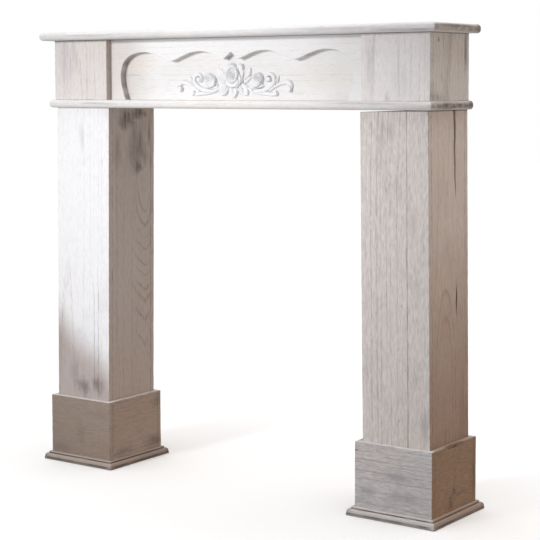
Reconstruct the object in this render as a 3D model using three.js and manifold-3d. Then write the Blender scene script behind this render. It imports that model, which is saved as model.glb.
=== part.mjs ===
// A wooden fireplace mantelpiece: two box legs on plinths, a ledge, and a header with two blocks, a scalloped
// fret board over a flat back panel, a carved rose ornament, and a shelf on top.
// Millimetres, +Z up. The front looks along -Y, and the origin is on the floor under the middle of the piece.

import * as THREE from 'three';
import { mergeVertices } from 'three/addons/utils/BufferGeometryUtils.js';
import Module from 'manifold-3d';

// Driving dimensions of the opening and the legs
const openingWidth = 689;
const legHeight = 828;
const legWidth = 158;
const legDepth = 160;
const legBoard = 12;

// The legs were put together out of true: their heads lean into the opening, and the right one leaves a thin wedge
// open over its inner side
const leftLegLean = 8.5;
const rightLegLean = 7.5;
const rightLegHeadGap = 3.5;

// Plinths and the base mouldings round their feet
const plinthHeight = 153;
const plinthBoard = 11.5;
const plinthEdgeRound = 1.6;
const mouldingHeight = 18;
const mouldingReach = 14;
const mouldingFilletHeight = 5;
const mouldingFilletStep = 0.8;
const mouldingToeRound = 1.4;
const mouldingBeadReach = 4.2;
const mouldingBeadHeight = 2.8;
const mouldingQuirk = 0.9;

// The ledge under the header
const ledgeThickness = 18;
const ledgeFrontOverhang = 11;
const ledgeEndOverhang = 8.5;
const ledgeEdgeRound = 6.5;

// The two end blocks of the header
const blockWidth = 159;
const blockHeight = 136;
const blockBoard = 12;
const blockProud = 1;
const blockOuterInset = 3;
const blockBackInset = 3.5;

// The frieze between the blocks
const friezeRecess = 15.5;
const fretBoard = 16;
const panelBoard = 9;
const headerBackBoard = 9;
const fretFootWidth = 43.5;
const fretSideWidth = 29.5;
const fretBulgeHeight = 54;
const fretShoulder = 66;
const fretRailHeight = 29.5;
const fretWaveDepth = 20.5;
const fretWavesPerHalf = 1.43;
const fretValleySharpness = 0.7;
const fretCuspHalfWidth = 19;
const fretPeakDrop = 2.5;

// The shelf on top
const shelfThickness = 18;
const shelfFrontOverhang = 25.5;
const shelfEndOverhang = 24.5;
const shelfEdgeRound = 7;

// The carved ornament: the gaps under and over it, how far it stands out, and the glue line behind it
const ornamentFootGap = 5;
const ornamentHeadGap = 3;
const ornamentShift = -2;
const ornamentRelief = 15;
const glueLine = 0.3;

// The worn corner of an upright board
const boardCornerRound = 1.5;

// Heights and planes that follow from the sizes above
const halfOpening = openingWidth / 2;
const legOuter = halfOpening + legWidth;
const ledgeTop = legHeight + ledgeThickness;
const shelfUnder = ledgeTop + blockHeight;
const shelfTop = shelfUnder + shelfThickness;
const blockOuter = legOuter - blockOuterInset;
const blockInner = blockOuter - blockWidth;
const blockFront = -blockProud;
const blockBack = legDepth - blockBackInset;
const fretFront = blockFront + friezeRecess;
const panelFront = fretFront + fretBoard;
const fretFootHalf = blockInner - fretFootWidth;
const fretBulgeHalf = blockInner - fretSideWidth;
const fretCrestHalf = fretBulgeHalf - fretShoulder;
const fretCrest = blockHeight - fretRailHeight;
const fretValley = fretCrest - fretWaveDepth;
const ledgeFront = blockFront - ledgeFrontOverhang;
const ledgeEnd = blockOuter + ledgeEndOverhang;
const shelfFront = blockFront - shelfFrontOverhang;
const shelfEnd = blockOuter + shelfEndOverhang;
const baseOutset = plinthBoard + mouldingReach;
const frontMost = Math.min(shelfFront, ledgeFront, -baseOutset);
const backMost = legDepth + baseOutset;

// Finishes, as the wood shows from a step away
function finish(color, roughness) {
	return new THREE.MeshStandardMaterial({ color, roughness, metalness: 0 });
}
const whitewash = finish('#ece8e4', 0.72);
const warmWhitewash = finish('#d3c8be', 0.74);
const rubbedWhitewash = finish('#c2b8b0', 0.76);
const castWhite = finish('#f1f1f2', 0.6);

const mantelpiece = new THREE.Group();
mantelpiece.position.y = -(frontMost + backMost) / 2;

// Turns a surface inside out if it encloses a negative volume, so that its faces look outwards.
function facingOut(positions, triangles) {
	const corner = (i) => new THREE.Vector3(...positions[i]);
	let volume = 0;
	for (const [a, b, c] of triangles) {
		volume += corner(a).dot(corner(b).cross(corner(c)));
	}
	const turned = volume < 0 ? triangles.map(([a, b, c]) => [a, c, b]) : triangles;
	const geometry = new THREE.BufferGeometry();
	geometry.setAttribute('position', new THREE.Float32BufferAttribute(positions.flat(), 3));
	geometry.setIndex(turned.flat());
	geometry.computeVertexNormals();
	return geometry;
}

// A closed solid through sections of one flat outline. Each section places an outline point, given by its two
// numbers and its index, in space.
function loft(outline, sections) {
	const count = outline.length;
	const positions = sections.flatMap((place) => outline.map(([a, b], i) => place(a, b, i)));
	const cap = THREE.ShapeUtils.triangulateShape(outline.map(([a, b]) => new THREE.Vector2(a, b)), []);
	const clockwise = THREE.ShapeUtils.isClockWise(outline.map(([a, b]) => new THREE.Vector2(a, b)));
	const last = (sections.length - 1) * count;
	const triangles = [];
	for (const [a, b, c] of cap) {
		triangles.push([a, c, b], [last + a, last + b, last + c]);
	}
	for (let s = 0; s < sections.length - 1; s++) {
		for (let i = 0; i < count; i++) {
			const near = s * count + i;
			const beside = s * count + (i + 1) % count;
			const [first, second] = clockwise ? [beside, near] : [near, beside];
			triangles.push([first, second, second + count], [first, second + count, first + count]);
		}
	}
	return facingOut(positions, triangles);
}

// A rectangle from (a0, b0) to (a1, b1), with a quarter circle at each corner whose radius isn't zero.
// The radii run from corner (a0, b0) by way of (a1, b0) and (a1, b1) to (a0, b1).
function roundedRectangle(a0, a1, b0, b1, radii = [0, 0, 0, 0], steps = 3) {
	const corners = [[a0, b0, 1, 1], [a1, b0, -1, 1], [a1, b1, -1, -1], [a0, b1, 1, -1]];
	const points = [];
	corners.forEach(([a, b, inA, inB], turn) => {
		const radius = radii[turn];
		if (radius === 0) {
			points.push([a, b]);
			return;
		}
		for (let i = 0; i <= steps; i++) {
			const angle = Math.PI + (turn + i / steps) * Math.PI / 2;
			points.push([a + inA * radius + radius * Math.cos(angle), b + inB * radius + radius * Math.sin(angle)]);
		}
	});
	return points;
}

function addPiece(name, geometry, material) {
	const piece = new THREE.Mesh(geometry, material);
	piece.name = name;
	mantelpiece.add(piece);
}

// A board with eased edges on its front and both ends, and a square back: a stack of plain rectangles, each
// drawn in by the round of the edge at its height. The round stays under half of the board's thickness.
function easedBoard({ end, front, back, under, top, round, steps = 5 }) {
	const radius = Math.min(round, (top - under) * 0.45);
	const easing = [];
	for (let i = 0; i <= steps; i++) {
		const angle = (i / steps) * Math.PI / 2;
		easing.push({ inset: radius * (1 - Math.sin(angle)), up: radius * (1 - Math.cos(angle)) });
	}
	const lower = easing.map(({ inset, up }) => ({ inset, z: under + up }));
	const upper = easing.map(({ inset, up }) => ({ inset, z: top - up })).reverse();
	const outline = roundedRectangle(-1, 1, 0, 1);
	return loft(outline, [...lower, ...upper].map(({ inset, z }) => (a, b) => [
		a * (end - inset),
		b === 0 ? front + inset : back,
		z,
	]));
}

// The four boards of a box column, as rectangles in the column's plan: u runs outwards from the face that
// looks into the opening, and y runs back. The front and back boards cover the edges of the two between them.
function boxBoards(u0, u1, y0, y1, thickness, round) {
	return {
		front: roundedRectangle(u0, u1, y0, y0 + thickness, [round, round, 0, 0]),
		back: roundedRectangle(u0, u1, y1 - thickness, y1, [0, 0, round, round]),
		inner: roundedRectangle(u0, u0 + thickness, y0 + thickness, y1 - thickness),
		outer: roundedRectangle(u1 - thickness, u1, y0 + thickness, y1 - thickness),
	};
}

// The moulding's section: o runs outwards from the plinth and z runs up. It has a fillet at the foot, a
// quarter round above it, a fine quirk, and a small bead against the plinth.
function mouldingSection() {
	const roundTop = mouldingHeight - mouldingBeadHeight - mouldingQuirk;
	const roundOut = mouldingReach - mouldingFilletStep;
	const roundIn = mouldingBeadReach;
	const points = [[0, 0], [mouldingReach - mouldingToeRound, 0], [mouldingReach, mouldingToeRound]];
	points.push([mouldingReach, mouldingFilletHeight]);
	const steps = 6;
	for (let i = 0; i <= steps; i++) {
		const angle = (i / steps) * Math.PI / 2;
		points.push([
			roundIn + (roundOut - roundIn) * Math.cos(angle),
			mouldingFilletHeight + (roundTop - mouldingFilletHeight) * Math.sin(angle),
		]);
	}
	points.push([mouldingBeadReach, roundTop + mouldingQuirk]);
	for (let i = 1; i <= 3; i++) {
		const angle = (i / 3) * Math.PI / 2;
		points.push([
			mouldingBeadReach * Math.cos(angle),
			roundTop + mouldingQuirk + mouldingBeadHeight * Math.sin(angle),
		]);
	}
	return points;
}

// One leg with its plinth and its base mouldings. Above the plinth it leans into the opening.
function addLeg(name, side, lean, headGap) {
	const across = (u) => side * (halfOpening + u);

	const legPlans = boxBoards(0, legWidth, 0, legDepth, legBoard, boardCornerRound);
	for (const [place, plan] of Object.entries(legPlans)) {
		addPiece(`${name}_leg_${place}_board`, loft(plan, [
			(u, y) => [across(u), y, 0],
			(u, y) => [across(u), y, plinthHeight],
			(u, y) => [across(u) - side * lean, y, legHeight - headGap * (1 - u / legWidth)],
		]), whitewash);
	}

	// An eased top edge: the outer faces draw in by the same amount as the edge rises, and the inner faces stay.
	const plinthPlans = (inset) => boxBoards(
		inset - plinthBoard, legWidth + plinthBoard - inset,
		inset - plinthBoard, legDepth + plinthBoard - inset,
		plinthBoard - inset, boardCornerRound);
	for (const place of Object.keys(plinthPlans(0))) {
		const level = (z, inset) => {
			const plan = plinthPlans(inset)[place];
			return (u, y, i) => [across(plan[i][0]), plan[i][1], z];
		};
		addPiece(`${name}_plinth_${place}_board`, loft(plinthPlans(0)[place], [
			level(0, 0),
			level(plinthHeight - plinthEdgeRound, 0),
			level(plinthHeight - plinthEdgeRound * 0.3, plinthEdgeRound * 0.3),
			level(plinthHeight, plinthEdgeRound),
		]), rubbedWhitewash);
	}

	const section = mouldingSection();
	const low = -plinthBoard;
	const highU = legWidth + plinthBoard;
	const highY = legDepth + plinthBoard;
	const mitred = {
		front: [(o, z) => [across(low - o), low - o, z], (o, z) => [across(highU + o), low - o, z]],
		back: [(o, z) => [across(low - o), highY + o, z], (o, z) => [across(highU + o), highY + o, z]],
		inner: [(o, z) => [across(low - o), low - o, z], (o, z) => [across(low - o), highY + o, z]],
		outer: [(o, z) => [across(highU + o), low - o, z], (o, z) => [across(highU + o), highY + o, z]],
	};
	for (const [place, ends] of Object.entries(mitred)) {
		addPiece(`${name}_base_moulding_${place}`, loft(section, ends), rubbedWhitewash);
	}
}

// One end block of the header, a box of four boards that stands on the ledge and carries the shelf
function addBlock(name, side) {
	const plans = boxBoards(blockInner, blockOuter, blockFront, blockBack, blockBoard, boardCornerRound);
	for (const [place, plan] of Object.entries(plans)) {
		addPiece(`${name}_block_${place}_board`, loft(plan, [
			(x, y) => [side * x, y, ledgeTop],
			(x, y) => [side * x, y, shelfUnder],
		]), whitewash);
	}
}

// The lower edge of the fret board, from the cusp beside the middle to the crest of the outer lobe, as a
// height above the ledge: waves whose crests are broad and whose valleys are narrow.
function fretEdgeHeight(x) {
	const pitch = (fretCrestHalf - fretCuspHalfWidth) / fretWavesPerHalf;
	const wave = (1 + Math.cos(2 * Math.PI * (fretCrestHalf - x) / pitch)) / 2;
	return fretValley + fretWaveDepth * wave ** fretValleySharpness;
}

// The right half of the fret board's lower edge, from the point of the peak in the middle round to the foot
// on the ledge. Past the outer crest it swells to the side and comes back in, along two curves.
function fretHalfEdge() {
	const points = [[0, fretCrest - fretPeakDrop]];
	const steps = 34;
	for (let i = 0; i <= steps; i++) {
		const x = fretCuspHalfWidth + (fretCrestHalf - fretCuspHalfWidth) * i / steps;
		points.push([x, fretEdgeHeight(x)]);
	}
	const fall = fretCrest - fretBulgeHeight;
	const shoulder = new THREE.CubicBezierCurve(
		new THREE.Vector2(fretCrestHalf, fretCrest),
		new THREE.Vector2(fretCrestHalf + fretShoulder * 0.6, fretCrest),
		new THREE.Vector2(fretBulgeHalf, fretCrest - fall * 0.33),
		new THREE.Vector2(fretBulgeHalf, fretBulgeHeight));
	const waist = new THREE.CubicBezierCurve(
		new THREE.Vector2(fretBulgeHalf, fretBulgeHeight),
		new THREE.Vector2(fretBulgeHalf, fretBulgeHeight * 0.66),
		new THREE.Vector2((fretFootHalf + fretBulgeHalf) / 2, fretBulgeHeight * 0.3),
		new THREE.Vector2(fretFootHalf, 0));
	for (const along of [shoulder.getPoints(10), waist.getPoints(6)]) {
		points.push(...along.slice(1).map((p) => [p.x, p.y]));
	}
	return points;
}

function fretOutline() {
	const right = fretHalfEdge();
	const left = right.slice(1).map(([x, z]) => [-x, z]);
	const edge = [...left.reverse(), ...right];
	return [...edge, [blockInner, 0], [blockInner, blockHeight], [-blockInner, blockHeight], [-blockInner, 0]];
}

// The carved ornament. Its parts are drawn in millimetres at the size that fits between the ledge and the
// fret board's valleys, with x outwards from the middle of the rose, z up and h out from the panel. The
// drawing runs from z = -37 to z = 41 and stands out 15, and it is scaled to the room and the relief it has.
const drawnFoot = 37;
const drawnHead = 41;
const drawnRelief = 15;
const ornamentScale = (fretValley - ornamentFootGap - ornamentHeadGap) / (drawnFoot + drawnHead);
const reliefScale = ornamentRelief / drawnRelief;
const ornamentMiddle = ledgeTop + ornamentFootGap + drawnFoot * ornamentScale;
const rootDepth = -3;

const wasm = await Module();
wasm.setup();

function toSolid(geometry) {
	const bare = geometry.clone();
	bare.deleteAttribute('normal');
	bare.deleteAttribute('uv');
	const merged = mergeVertices(bare, 1e-5);
	return new wasm.Manifold(new wasm.Mesh({
		numProp: 3,
		vertProperties: new Float32Array(merged.attributes.position.array),
		triVerts: new Uint32Array(merged.index.array),
	}));
}

function toGeometry(solid) {
	const mesh = solid.getMesh();
	const geometry = new THREE.BufferGeometry();
	geometry.setAttribute('position', new THREE.Float32BufferAttribute(mesh.vertProperties, 3));
	geometry.setIndex([...mesh.triVerts]);
	geometry.computeVertexNormals();
	return geometry;
}

// From the drawing's x, z and h to the mantelpiece's own axes
function onPanel(x, z, h) {
	return [
		ornamentShift + x * ornamentScale,
		panelFront - glueLine - h * reliefScale,
		ornamentMiddle + z * ornamentScale,
	];
}

// A body along a smooth curve through stations [x, z, half width, height], with a section of [across, up].
function strand(stations, section, steps) {
	const middles = stations.map(([x, z]) => new THREE.Vector3(x, z, 0));
	const path = new THREE.CatmullRomCurve3(middles, false, 'centripetal');
	const sizes = new THREE.CatmullRomCurve3(stations.map(([, , w, h]) => new THREE.Vector3(w, h, 0)));
	const places = [];
	for (let i = 0; i <= steps; i++) {
		const t = i / steps;
		const middle = path.getPoint(t);
		const along = path.getTangent(t);
		const size = sizes.getPoint(t);
		places.push((across, up) => onPanel(
			middle.x - along.y * across * size.x,
			middle.y + along.x * across * size.x,
			up < 0 ? rootDepth : up * size.y));
	}
	return loft(section, places);
}

const halfRound = [[-1, -1], [1, -1], [1, 0], [0.72, 0.7], [0, 1], [-0.72, 0.7], [-1, 0]];
const leafSection = [[-1, -1], [1, -1], [1, 0.25], [0.55, 1], [0, 0.6], [-0.55, 1], [-1, 0.25]];

const stem = (stations) => strand(stations, halfRound, stations.length * 2);

// A leaf from its root to its tip, widest past the middle, with a sunk vein
function leaf(x0, z0, x1, z1, width, height) {
	const shape = [[0, 0.3, 0.5], [0.3, 0.85, 0.9], [0.6, 1, 1], [0.85, 0.62, 0.85], [1, 0.12, 0.4]];
	const stations = shape.map(([t, wide, high]) => [
		x0 + (x1 - x0) * t, z0 + (z1 - z0) * t, width / 2 * wide, height * high]);
	return strand(stations, leafSection, 6);
}

// A round boss: half an ellipsoid that goes down into the panel's side
function boss(x, z, halfWidth, halfTall, height) {
	const ball = new THREE.SphereGeometry(1, 12, 8);
	const at = ball.attributes.position;
	for (let i = 0; i < at.count; i++) {
		const up = at.getZ(i);
		const out = up < 0 ? rootDepth * -up : height * up;
		at.setXYZ(i, ...onPanel(x + halfWidth * at.getX(i), z + halfTall * at.getY(i), out));
	}
	return facingOut(
		Array.from({ length: at.count }, (_, i) => [at.getX(i), at.getY(i), at.getZ(i)]),
		Array.from({ length: ball.index.count / 3 }, (_, i) => [0, 1, 2].map((k) => ball.index.getX(3 * i + k))));
}

// The rim of a rolled petal: a spiral that winds inwards from one radius and angle to another
function rolledRim(x, z, wide, tall, turns, startAngle, halfWidth, height, inward = 0.2) {
	const stations = [];
	const count = Math.ceil(turns * 8);
	for (let i = 0; i <= count; i++) {
		const t = i / count;
		const angle = startAngle + turns * 2 * Math.PI * t;
		const shrink = 1 - (1 - inward) * t;
		stations.push([
			x + wide * shrink * Math.cos(angle), z + tall * shrink * Math.sin(angle), halfWidth, height + t]);
	}
	return strand(stations, halfRound, count * 2);
}

// The right half of the spray beside the rose, which the left half mirrors
function sprayParts() {
	const volute = [[56, -21, 4, 5.5], [78, -20, 5, 6.5], [95, -14, 5.6, 7]];
	const coils = 6;
	for (let i = 0; i <= coils; i++) {
		const angle = (-35 + i * 42) * Math.PI / 180;
		const radius = 13.5 - i * 1.1;
		volute.push([96 + radius * Math.cos(angle), 4 + radius * Math.sin(angle), 5.4 - i * 0.3, 7.5]);
	}
	return [
		stem([
			[36, -12, 4, 6], [50, -20, 5.5, 7], [70, -25, 5.5, 7],
			[90, -27.5, 5, 6.5], [104, -29, 4.8, 6], [112, -28, 4.6, 6],
		]),
		boss(112.5, -26.5, 6, 6.2, 7.5),
		stem(volute),
		boss(95, 4, 6.5, 6.5, 8),
		stem([
			[96, -20, 3.5, 5], [112, -11, 4.2, 5.5], [130, -4, 5, 6],
			[144, -3, 6, 7], [151, -10, 6.5, 7.5], [149, -18, 6, 7],
		]),
		boss(147.5, -18.5, 7, 7, 8.5),
		leaf(112, -6, 121, 12, 8, 5),
		boss(65, 3, 16, 15.5, 9),
		rolledRim(68, 6, 9.5, 9.5, 1.5, -0.6, 2, 10.5),
		leaf(45, -8, 82, -10, 16, 8),
		leaf(22, 2, 45, 27, 19, 7),
		leaf(26, -3, 50, 11, 11, 6),
		leaf(15, -6, 37, -30, 26, 8),
		leaf(26, -6, 49, -20, 11, 6),
	];
}

// The rose: a domed heart, round outer petals about it, and a rolled rim that winds to its middle
function roseParts() {
	const parts = [boss(0, 13, 20, 21, 10.5), leaf(0, -10, 0, -37, 25, 8)];
	const petals = 5;
	for (let i = 0; i < petals; i++) {
		const angle = Math.PI / 2 + (i + 0.15) * 2 * Math.PI / petals;
		parts.push(boss(13 * Math.cos(angle), 13.5 + 14 * Math.sin(angle), 13, 13, 8.5));
	}
	parts.push(rolledRim(0, 14, 17, 18, 2.4, 0.9, 2.3, 13));
	return parts;
}

function ornament() {
	const mirror = (solid) => {
		const middle = onPanel(0, 0, 0)[0];
		return solid.translate([-middle, 0, 0]).mirror([1, 0, 0]).translate([middle, 0, 0]);
	};
	const half = sprayParts().map(toSolid).reduce((whole, solid) => whole.add(solid));
	const rose = roseParts().map(toSolid).reduce((whole, solid) => whole.add(solid));
	const reach = blockInner;
	const behind = new THREE.BoxGeometry(2 * reach, reach, 2 * reach);
	behind.translate(0, panelFront - glueLine + reach / 2, ornamentMiddle);
	return toGeometry(half.add(mirror(half)).add(rose).subtract(toSolid(behind)));
}

// The pieces of the header, from the ledge up
addPiece('ledge_board', easedBoard({
	end: ledgeEnd, front: ledgeFront, back: legDepth, under: legHeight, top: ledgeTop, round: ledgeEdgeRound,
}), warmWhitewash);
addPiece('mantel_shelf', easedBoard({
	end: shelfEnd, front: shelfFront, back: legDepth, under: shelfUnder, top: shelfTop, round: shelfEdgeRound,
}), whitewash);

addPiece('scalloped_frieze_board', loft(fretOutline(), [
	(x, z) => [x, fretFront, ledgeTop + z],
	(x, z) => [x, panelFront, ledgeTop + z],
]), whitewash);

const panelOutline = roundedRectangle(-blockInner, blockInner, 0, blockHeight);
addPiece('frieze_back_panel', loft(panelOutline, [
	(x, z) => [x, panelFront, ledgeTop + z],
	(x, z) => [x, panelFront + panelBoard, ledgeTop + z],
]), whitewash);
addPiece('header_back_board', loft(panelOutline, [
	(x, z) => [x, blockBack - headerBackBoard, ledgeTop + z],
	(x, z) => [x, blockBack, ledgeTop + z],
]), warmWhitewash);
addPiece('rose_ornament', ornament(), castWhite);

addBlock('left', -1);
addBlock('right', 1);
addLeg('left', -1, leftLegLean, 0);
addLeg('right', 1, rightLegLean, rightLegHeadGap);

export default mantelpiece;
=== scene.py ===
"""A whitewashed wooden fireplace mantelpiece: worn boards, mouldings, a scalloped frieze and a rose spray.

The pieces stand where the frame's solids stand, in metres: x to the right, y back towards the wall, z up.
"""

import math

import bpy
import numpy as np
from mathutils import Matrix, Vector


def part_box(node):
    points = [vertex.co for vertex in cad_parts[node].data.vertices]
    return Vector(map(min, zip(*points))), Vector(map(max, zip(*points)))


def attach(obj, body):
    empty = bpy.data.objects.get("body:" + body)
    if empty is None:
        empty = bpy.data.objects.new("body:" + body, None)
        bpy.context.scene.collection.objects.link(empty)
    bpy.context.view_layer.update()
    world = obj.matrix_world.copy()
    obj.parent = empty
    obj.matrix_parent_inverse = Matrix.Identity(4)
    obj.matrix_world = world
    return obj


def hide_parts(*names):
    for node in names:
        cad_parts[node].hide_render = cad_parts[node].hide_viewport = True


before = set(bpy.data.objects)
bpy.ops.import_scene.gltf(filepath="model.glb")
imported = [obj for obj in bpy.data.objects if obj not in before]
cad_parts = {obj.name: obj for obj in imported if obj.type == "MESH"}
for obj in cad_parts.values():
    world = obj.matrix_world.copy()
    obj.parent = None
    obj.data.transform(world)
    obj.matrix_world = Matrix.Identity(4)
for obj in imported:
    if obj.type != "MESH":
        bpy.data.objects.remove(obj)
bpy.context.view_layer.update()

bl_info = {
    "name": "Whitewashed Mantelpiece",
    "version": (1, 0, 0),
    "blender": (4, 5, 0),
    "location": "View3D > Sidebar > Mantelpiece",
    "description": "Builds a worn, whitewashed wooden fireplace mantelpiece with a cast rose ornament",
    "category": "Add Mesh",
}

MM = 0.001
X, Y, Z = 0, 1, 2
RIGHTWARDS = (1, 0, 0)
UPWARDS = (0, 0, 1)
SIDES = ("left", "right")
BOX_PLACES = ("front", "back", "inner", "outer")


# Sizes and colours that a user would change

def size(name, default, description):
    """A setting that is a length in metres."""
    return bpy.props.FloatProperty(name=name, default=default, description=description, unit="LENGTH")


def number(name, default, description):
    """A setting that is a plain number."""
    return bpy.props.FloatProperty(name=name, default=default, description=description)


def paint(name, default, description):
    """A setting that is a colour."""
    return bpy.props.FloatVectorProperty(
        name=name, default=default, description=description, size=3, subtype="COLOR")


class MantelSizes(bpy.types.PropertyGroup):
    edge_round: size("Edge round", 1.1 * MM, "Radius of the eased edge of a board")
    edge_wear: number("Edge wear", 0.45, "How much the eased radius varies along an edge")
    board_pitch: size("Board pitch", 14 * MM, "Distance between the lattice lines of a board")
    nose_round: size("Nose round", 7.4 * MM, "Radius of the eased edge of the shelf and the ledge")
    left_leg_lean: size("Left leg lean", 8.5 * MM, "How far the head of the left leg leans inwards")
    right_leg_lean: size("Right leg lean", 7.5 * MM, "How far the head of the right leg leans inwards")
    right_leg_gap: size("Right leg gap", 3.5 * MM, "Height of the open wedge over the right leg's inner side")
    relief_pitch: size("Relief pitch", 0.55 * MM, "Distance between the points of the ornament's surface")


class FriezeSizes(bpy.types.PropertyGroup):
    foot_width: size("Foot width", 43.5 * MM, "Width of the fret board's foot on the ledge")
    side_width: size("Side width", 29.5 * MM, "Width of the fret board at its narrowest side")
    bulge_height: size("Bulge height", 54 * MM, "Height of the widest point of the opening")
    shoulder: size("Shoulder", 66 * MM, "Length of the curve from the widest point to the outer crest")
    rail_height: size("Rail height", 29.5 * MM, "Height of the wood left over the crests")
    wave_depth: size("Wave depth", 20.5 * MM, "Height from a valley to a crest of the scallops")
    waves_per_half: number("Waves per half", 1.43, "Scallops from the outer crest to the cusp by the middle")
    valley_sharpness: number("Valley sharpness", 0.7, "Under 1, the valleys are narrower than the crests")
    cusp_half_width: size("Cusp half width", 19 * MM, "Half of the width of the pointed peak in the middle")
    peak_drop: size("Peak drop", 2.5 * MM, "How far the middle peak stays under the crests")


class MantelColours(bpy.types.PropertyGroup):
    wash: paint("Whitewash", (0.86, 0.845, 0.83), "Thick whitewash")
    leg_wash: paint("Leg whitewash", (0.83, 0.82, 0.81), "Whitewash on the legs")
    bare_wood: paint("Bare wood", (0.29, 0.22, 0.18), "Wood that shows through the wash")
    rubbed: paint("Rubbed edge", (0.085, 0.06, 0.052), "Dark wood where an edge is rubbed through")
    smoke: paint("Smoke", (0.155, 0.12, 0.105), "Grey brown of smudges and thin patches")
    grey: paint("Grey", (0.3, 0.285, 0.28), "Cool grey of the faint smudges on the legs")
    # The crack colour also paints the shade on the fret's cut edge and the dark lines in the mouldings'
    # grooves.
    crack: paint("Crack", (0.03, 0.02, 0.016), "Inside of a crack or a broken edge")
    cast_white: paint("Cast white", (0.87, 0.88, 0.9), "Paint of the cast ornament")
    floor: paint("Floor", (0.93, 0.93, 0.93), "The pale floor")


class StudioSettings(bpy.types.PropertyGroup):
    camera_place: bpy.props.FloatVectorProperty(
        name="Camera place", description="Where the camera stands", default=(2.01677, -2.73235, 0.88052),
        size=3, subtype="XYZ")
    camera_yaw: number("Camera yaw", 35.66, "Turn of the camera to the left of the wall's normal, in degrees")
    camera_tilt: number("Camera tilt", -4.4, "Tilt of the camera, downwards if negative, in degrees")
    camera_roll: number("Camera roll", -0.17, "Roll of the camera, in degrees")
    camera_lens: number("Camera lens", 103.546, "Focal length on a 36 mm sensor, in millimetres")
    camera_shift: number("Camera shift", -0.12278, "Vertical shift of the lens that frames the whole piece")
    floor_radius: size("Floor radius", 14.0, "Radius of the floor")
    window_power: number("Window power", 150.0, "Power of the soft light from the front left, in watts")
    top_strength: number("Top strength", 1.9, "Strength of the broad light from above")
    fill_power: number("Fill power", 12.0, "Power of the weak front light, in watts")
    ambient: number("Ambient", 0.5, "Strength of the light that comes from all round")


# Meshes

def waves(points, length, seed):
    """Slow bumps in space, from about -1 to 1: twice the mean of six sine waves of like length in seeded
    directions."""
    rng = np.random.default_rng(seed)
    total = np.zeros(len(points))
    count = 6
    for _ in range(count):
        direction = rng.normal(size=3)
        direction /= np.linalg.norm(direction) * length * rng.uniform(0.7, 1.4)
        total += np.sin(points @ direction * 2 * np.pi + rng.uniform(0, 2 * np.pi))
    return total * 2 / count


def add_piece(name, points, faces, nodes, material, attributes, ends=None, end_material=None):
    """Makes a closed mesh piece that stands for the given nodes. Attributes are one number or three per
    point, or per face corner. ends marks the faces that take the end material."""
    mesh = bpy.data.meshes.new(name)
    mesh.from_pydata(points.tolist(), [], [list(map(int, face)) for face in faces])
    if mesh.validate():
        raise RuntimeError(f"{name} has faces that aren't valid")
    for key, values in attributes.items():
        values = np.asarray(values, np.float32)
        domain = "POINT" if len(values) == len(points) else "CORNER"
        kind, field = ("FLOAT", "value") if values.ndim == 1 else ("FLOAT_VECTOR", "vector")
        mesh.attributes.new(key, kind, domain).data.foreach_set(field, values.ravel())
    mesh.polygons.foreach_set("use_smooth", np.ones(len(mesh.polygons), bool))
    mesh.set_sharp_from_angle(angle=math.radians(40))
    mesh.materials.append(material)
    if end_material:
        mesh.materials.append(end_material)
        mesh.polygons.foreach_set("material_index", ends.astype(np.int32))
    mesh.update()
    piece = bpy.data.objects.new(name, mesh)
    bpy.context.scene.collection.objects.link(piece)
    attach(piece, "root")
    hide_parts(*nodes)


def tinted(colour, tint):
    """A colour times a tint, part by part."""
    return tuple(c * t for c, t in zip(colour, tint))


def node_box(name):
    """The lowest and highest corners of a node, as arrays."""
    low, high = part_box(name)
    return np.array(low), np.array(high)


def lattice_stops(length, rounding, pitch, extra):
    """Lattice lines along one side of a board: four close lines over each eased edge, a line just inside
    them that keeps the flat face flat, and lines at an even pitch between."""
    arc = rounding * (1 - np.tan(np.radians([45, 30, 15, 0])))
    support = rounding + 0.6 * MM
    count = max(2, math.ceil((length - 2 * support) / pitch) + 1)
    inner = np.linspace(support, length - support, count)
    return np.unique(np.round(np.concatenate([arc, inner, length - arc, np.array(extra, float)]), 7))


def lattice_board(low, high, rounding, pitch, extras):
    """The surface of a box, as the outer points of a lattice. Returns the raw points, the quads that face
    outwards, and each point's distance from the nearest edge of the box."""
    stops = [low[a] + lattice_stops(high[a] - low[a], rounding, pitch, extras[a]) for a in (X, Y, Z)]
    shape = [len(s) for s in stops]
    outside = np.zeros(shape, bool)
    ends = [(axis, end) for axis in (X, Y, Z) for end in (0, -1)]
    for axis, end in ends:
        outside[tuple(end if a == axis else slice(None) for a in (X, Y, Z))] = True
    index = np.full(shape, -1)
    index[outside] = np.arange(outside.sum())
    points = np.stack(np.meshgrid(*stops, indexing="ij"), axis=-1)[outside]
    quads = []
    for axis, end in ends:
        side = index[tuple(end if a == axis else slice(None) for a in (X, Y, Z))]
        quad = np.stack([side[:-1, :-1], side[1:, :-1], side[1:, 1:], side[:-1, 1:]], axis=-1).reshape(-1, 4)
        quads.append(quad[:, ::-1] if (end == 0) != (axis == Y) else quad)
    to_faces = np.minimum(points - low, high - points)
    return points, np.concatenate(quads), np.sort(to_faces, axis=1)[:, 1]


def ease_edges(points, low, high, rounding):
    """Moves each point of a box onto the box's eased surface: the point nearest to it in the box drawn in
    by the radius, plus the radius in the direction between the two. The radius is one number per point."""
    radius = rounding[:, None]
    inner = np.clip(points, low + radius, high - radius)
    away = points - inner
    length = np.linalg.norm(away, axis=1, keepdims=True)
    return inner + radius * away / np.maximum(length, 1e-9)


def grain_vector(points, low, high, along, across, heart, shift):
    """The wood's own axes at each point, in metres: across the face from the tree's heart, down into the
    wood from the heart, and along the grain."""
    depth = 3 - along - across
    middle = (low + high) / 2
    return np.stack([
        points[:, across] - middle[across] + heart[0],
        points[:, depth] - middle[depth] + heart[1],
        points[:, along] + shift,
    ], axis=1)


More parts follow.
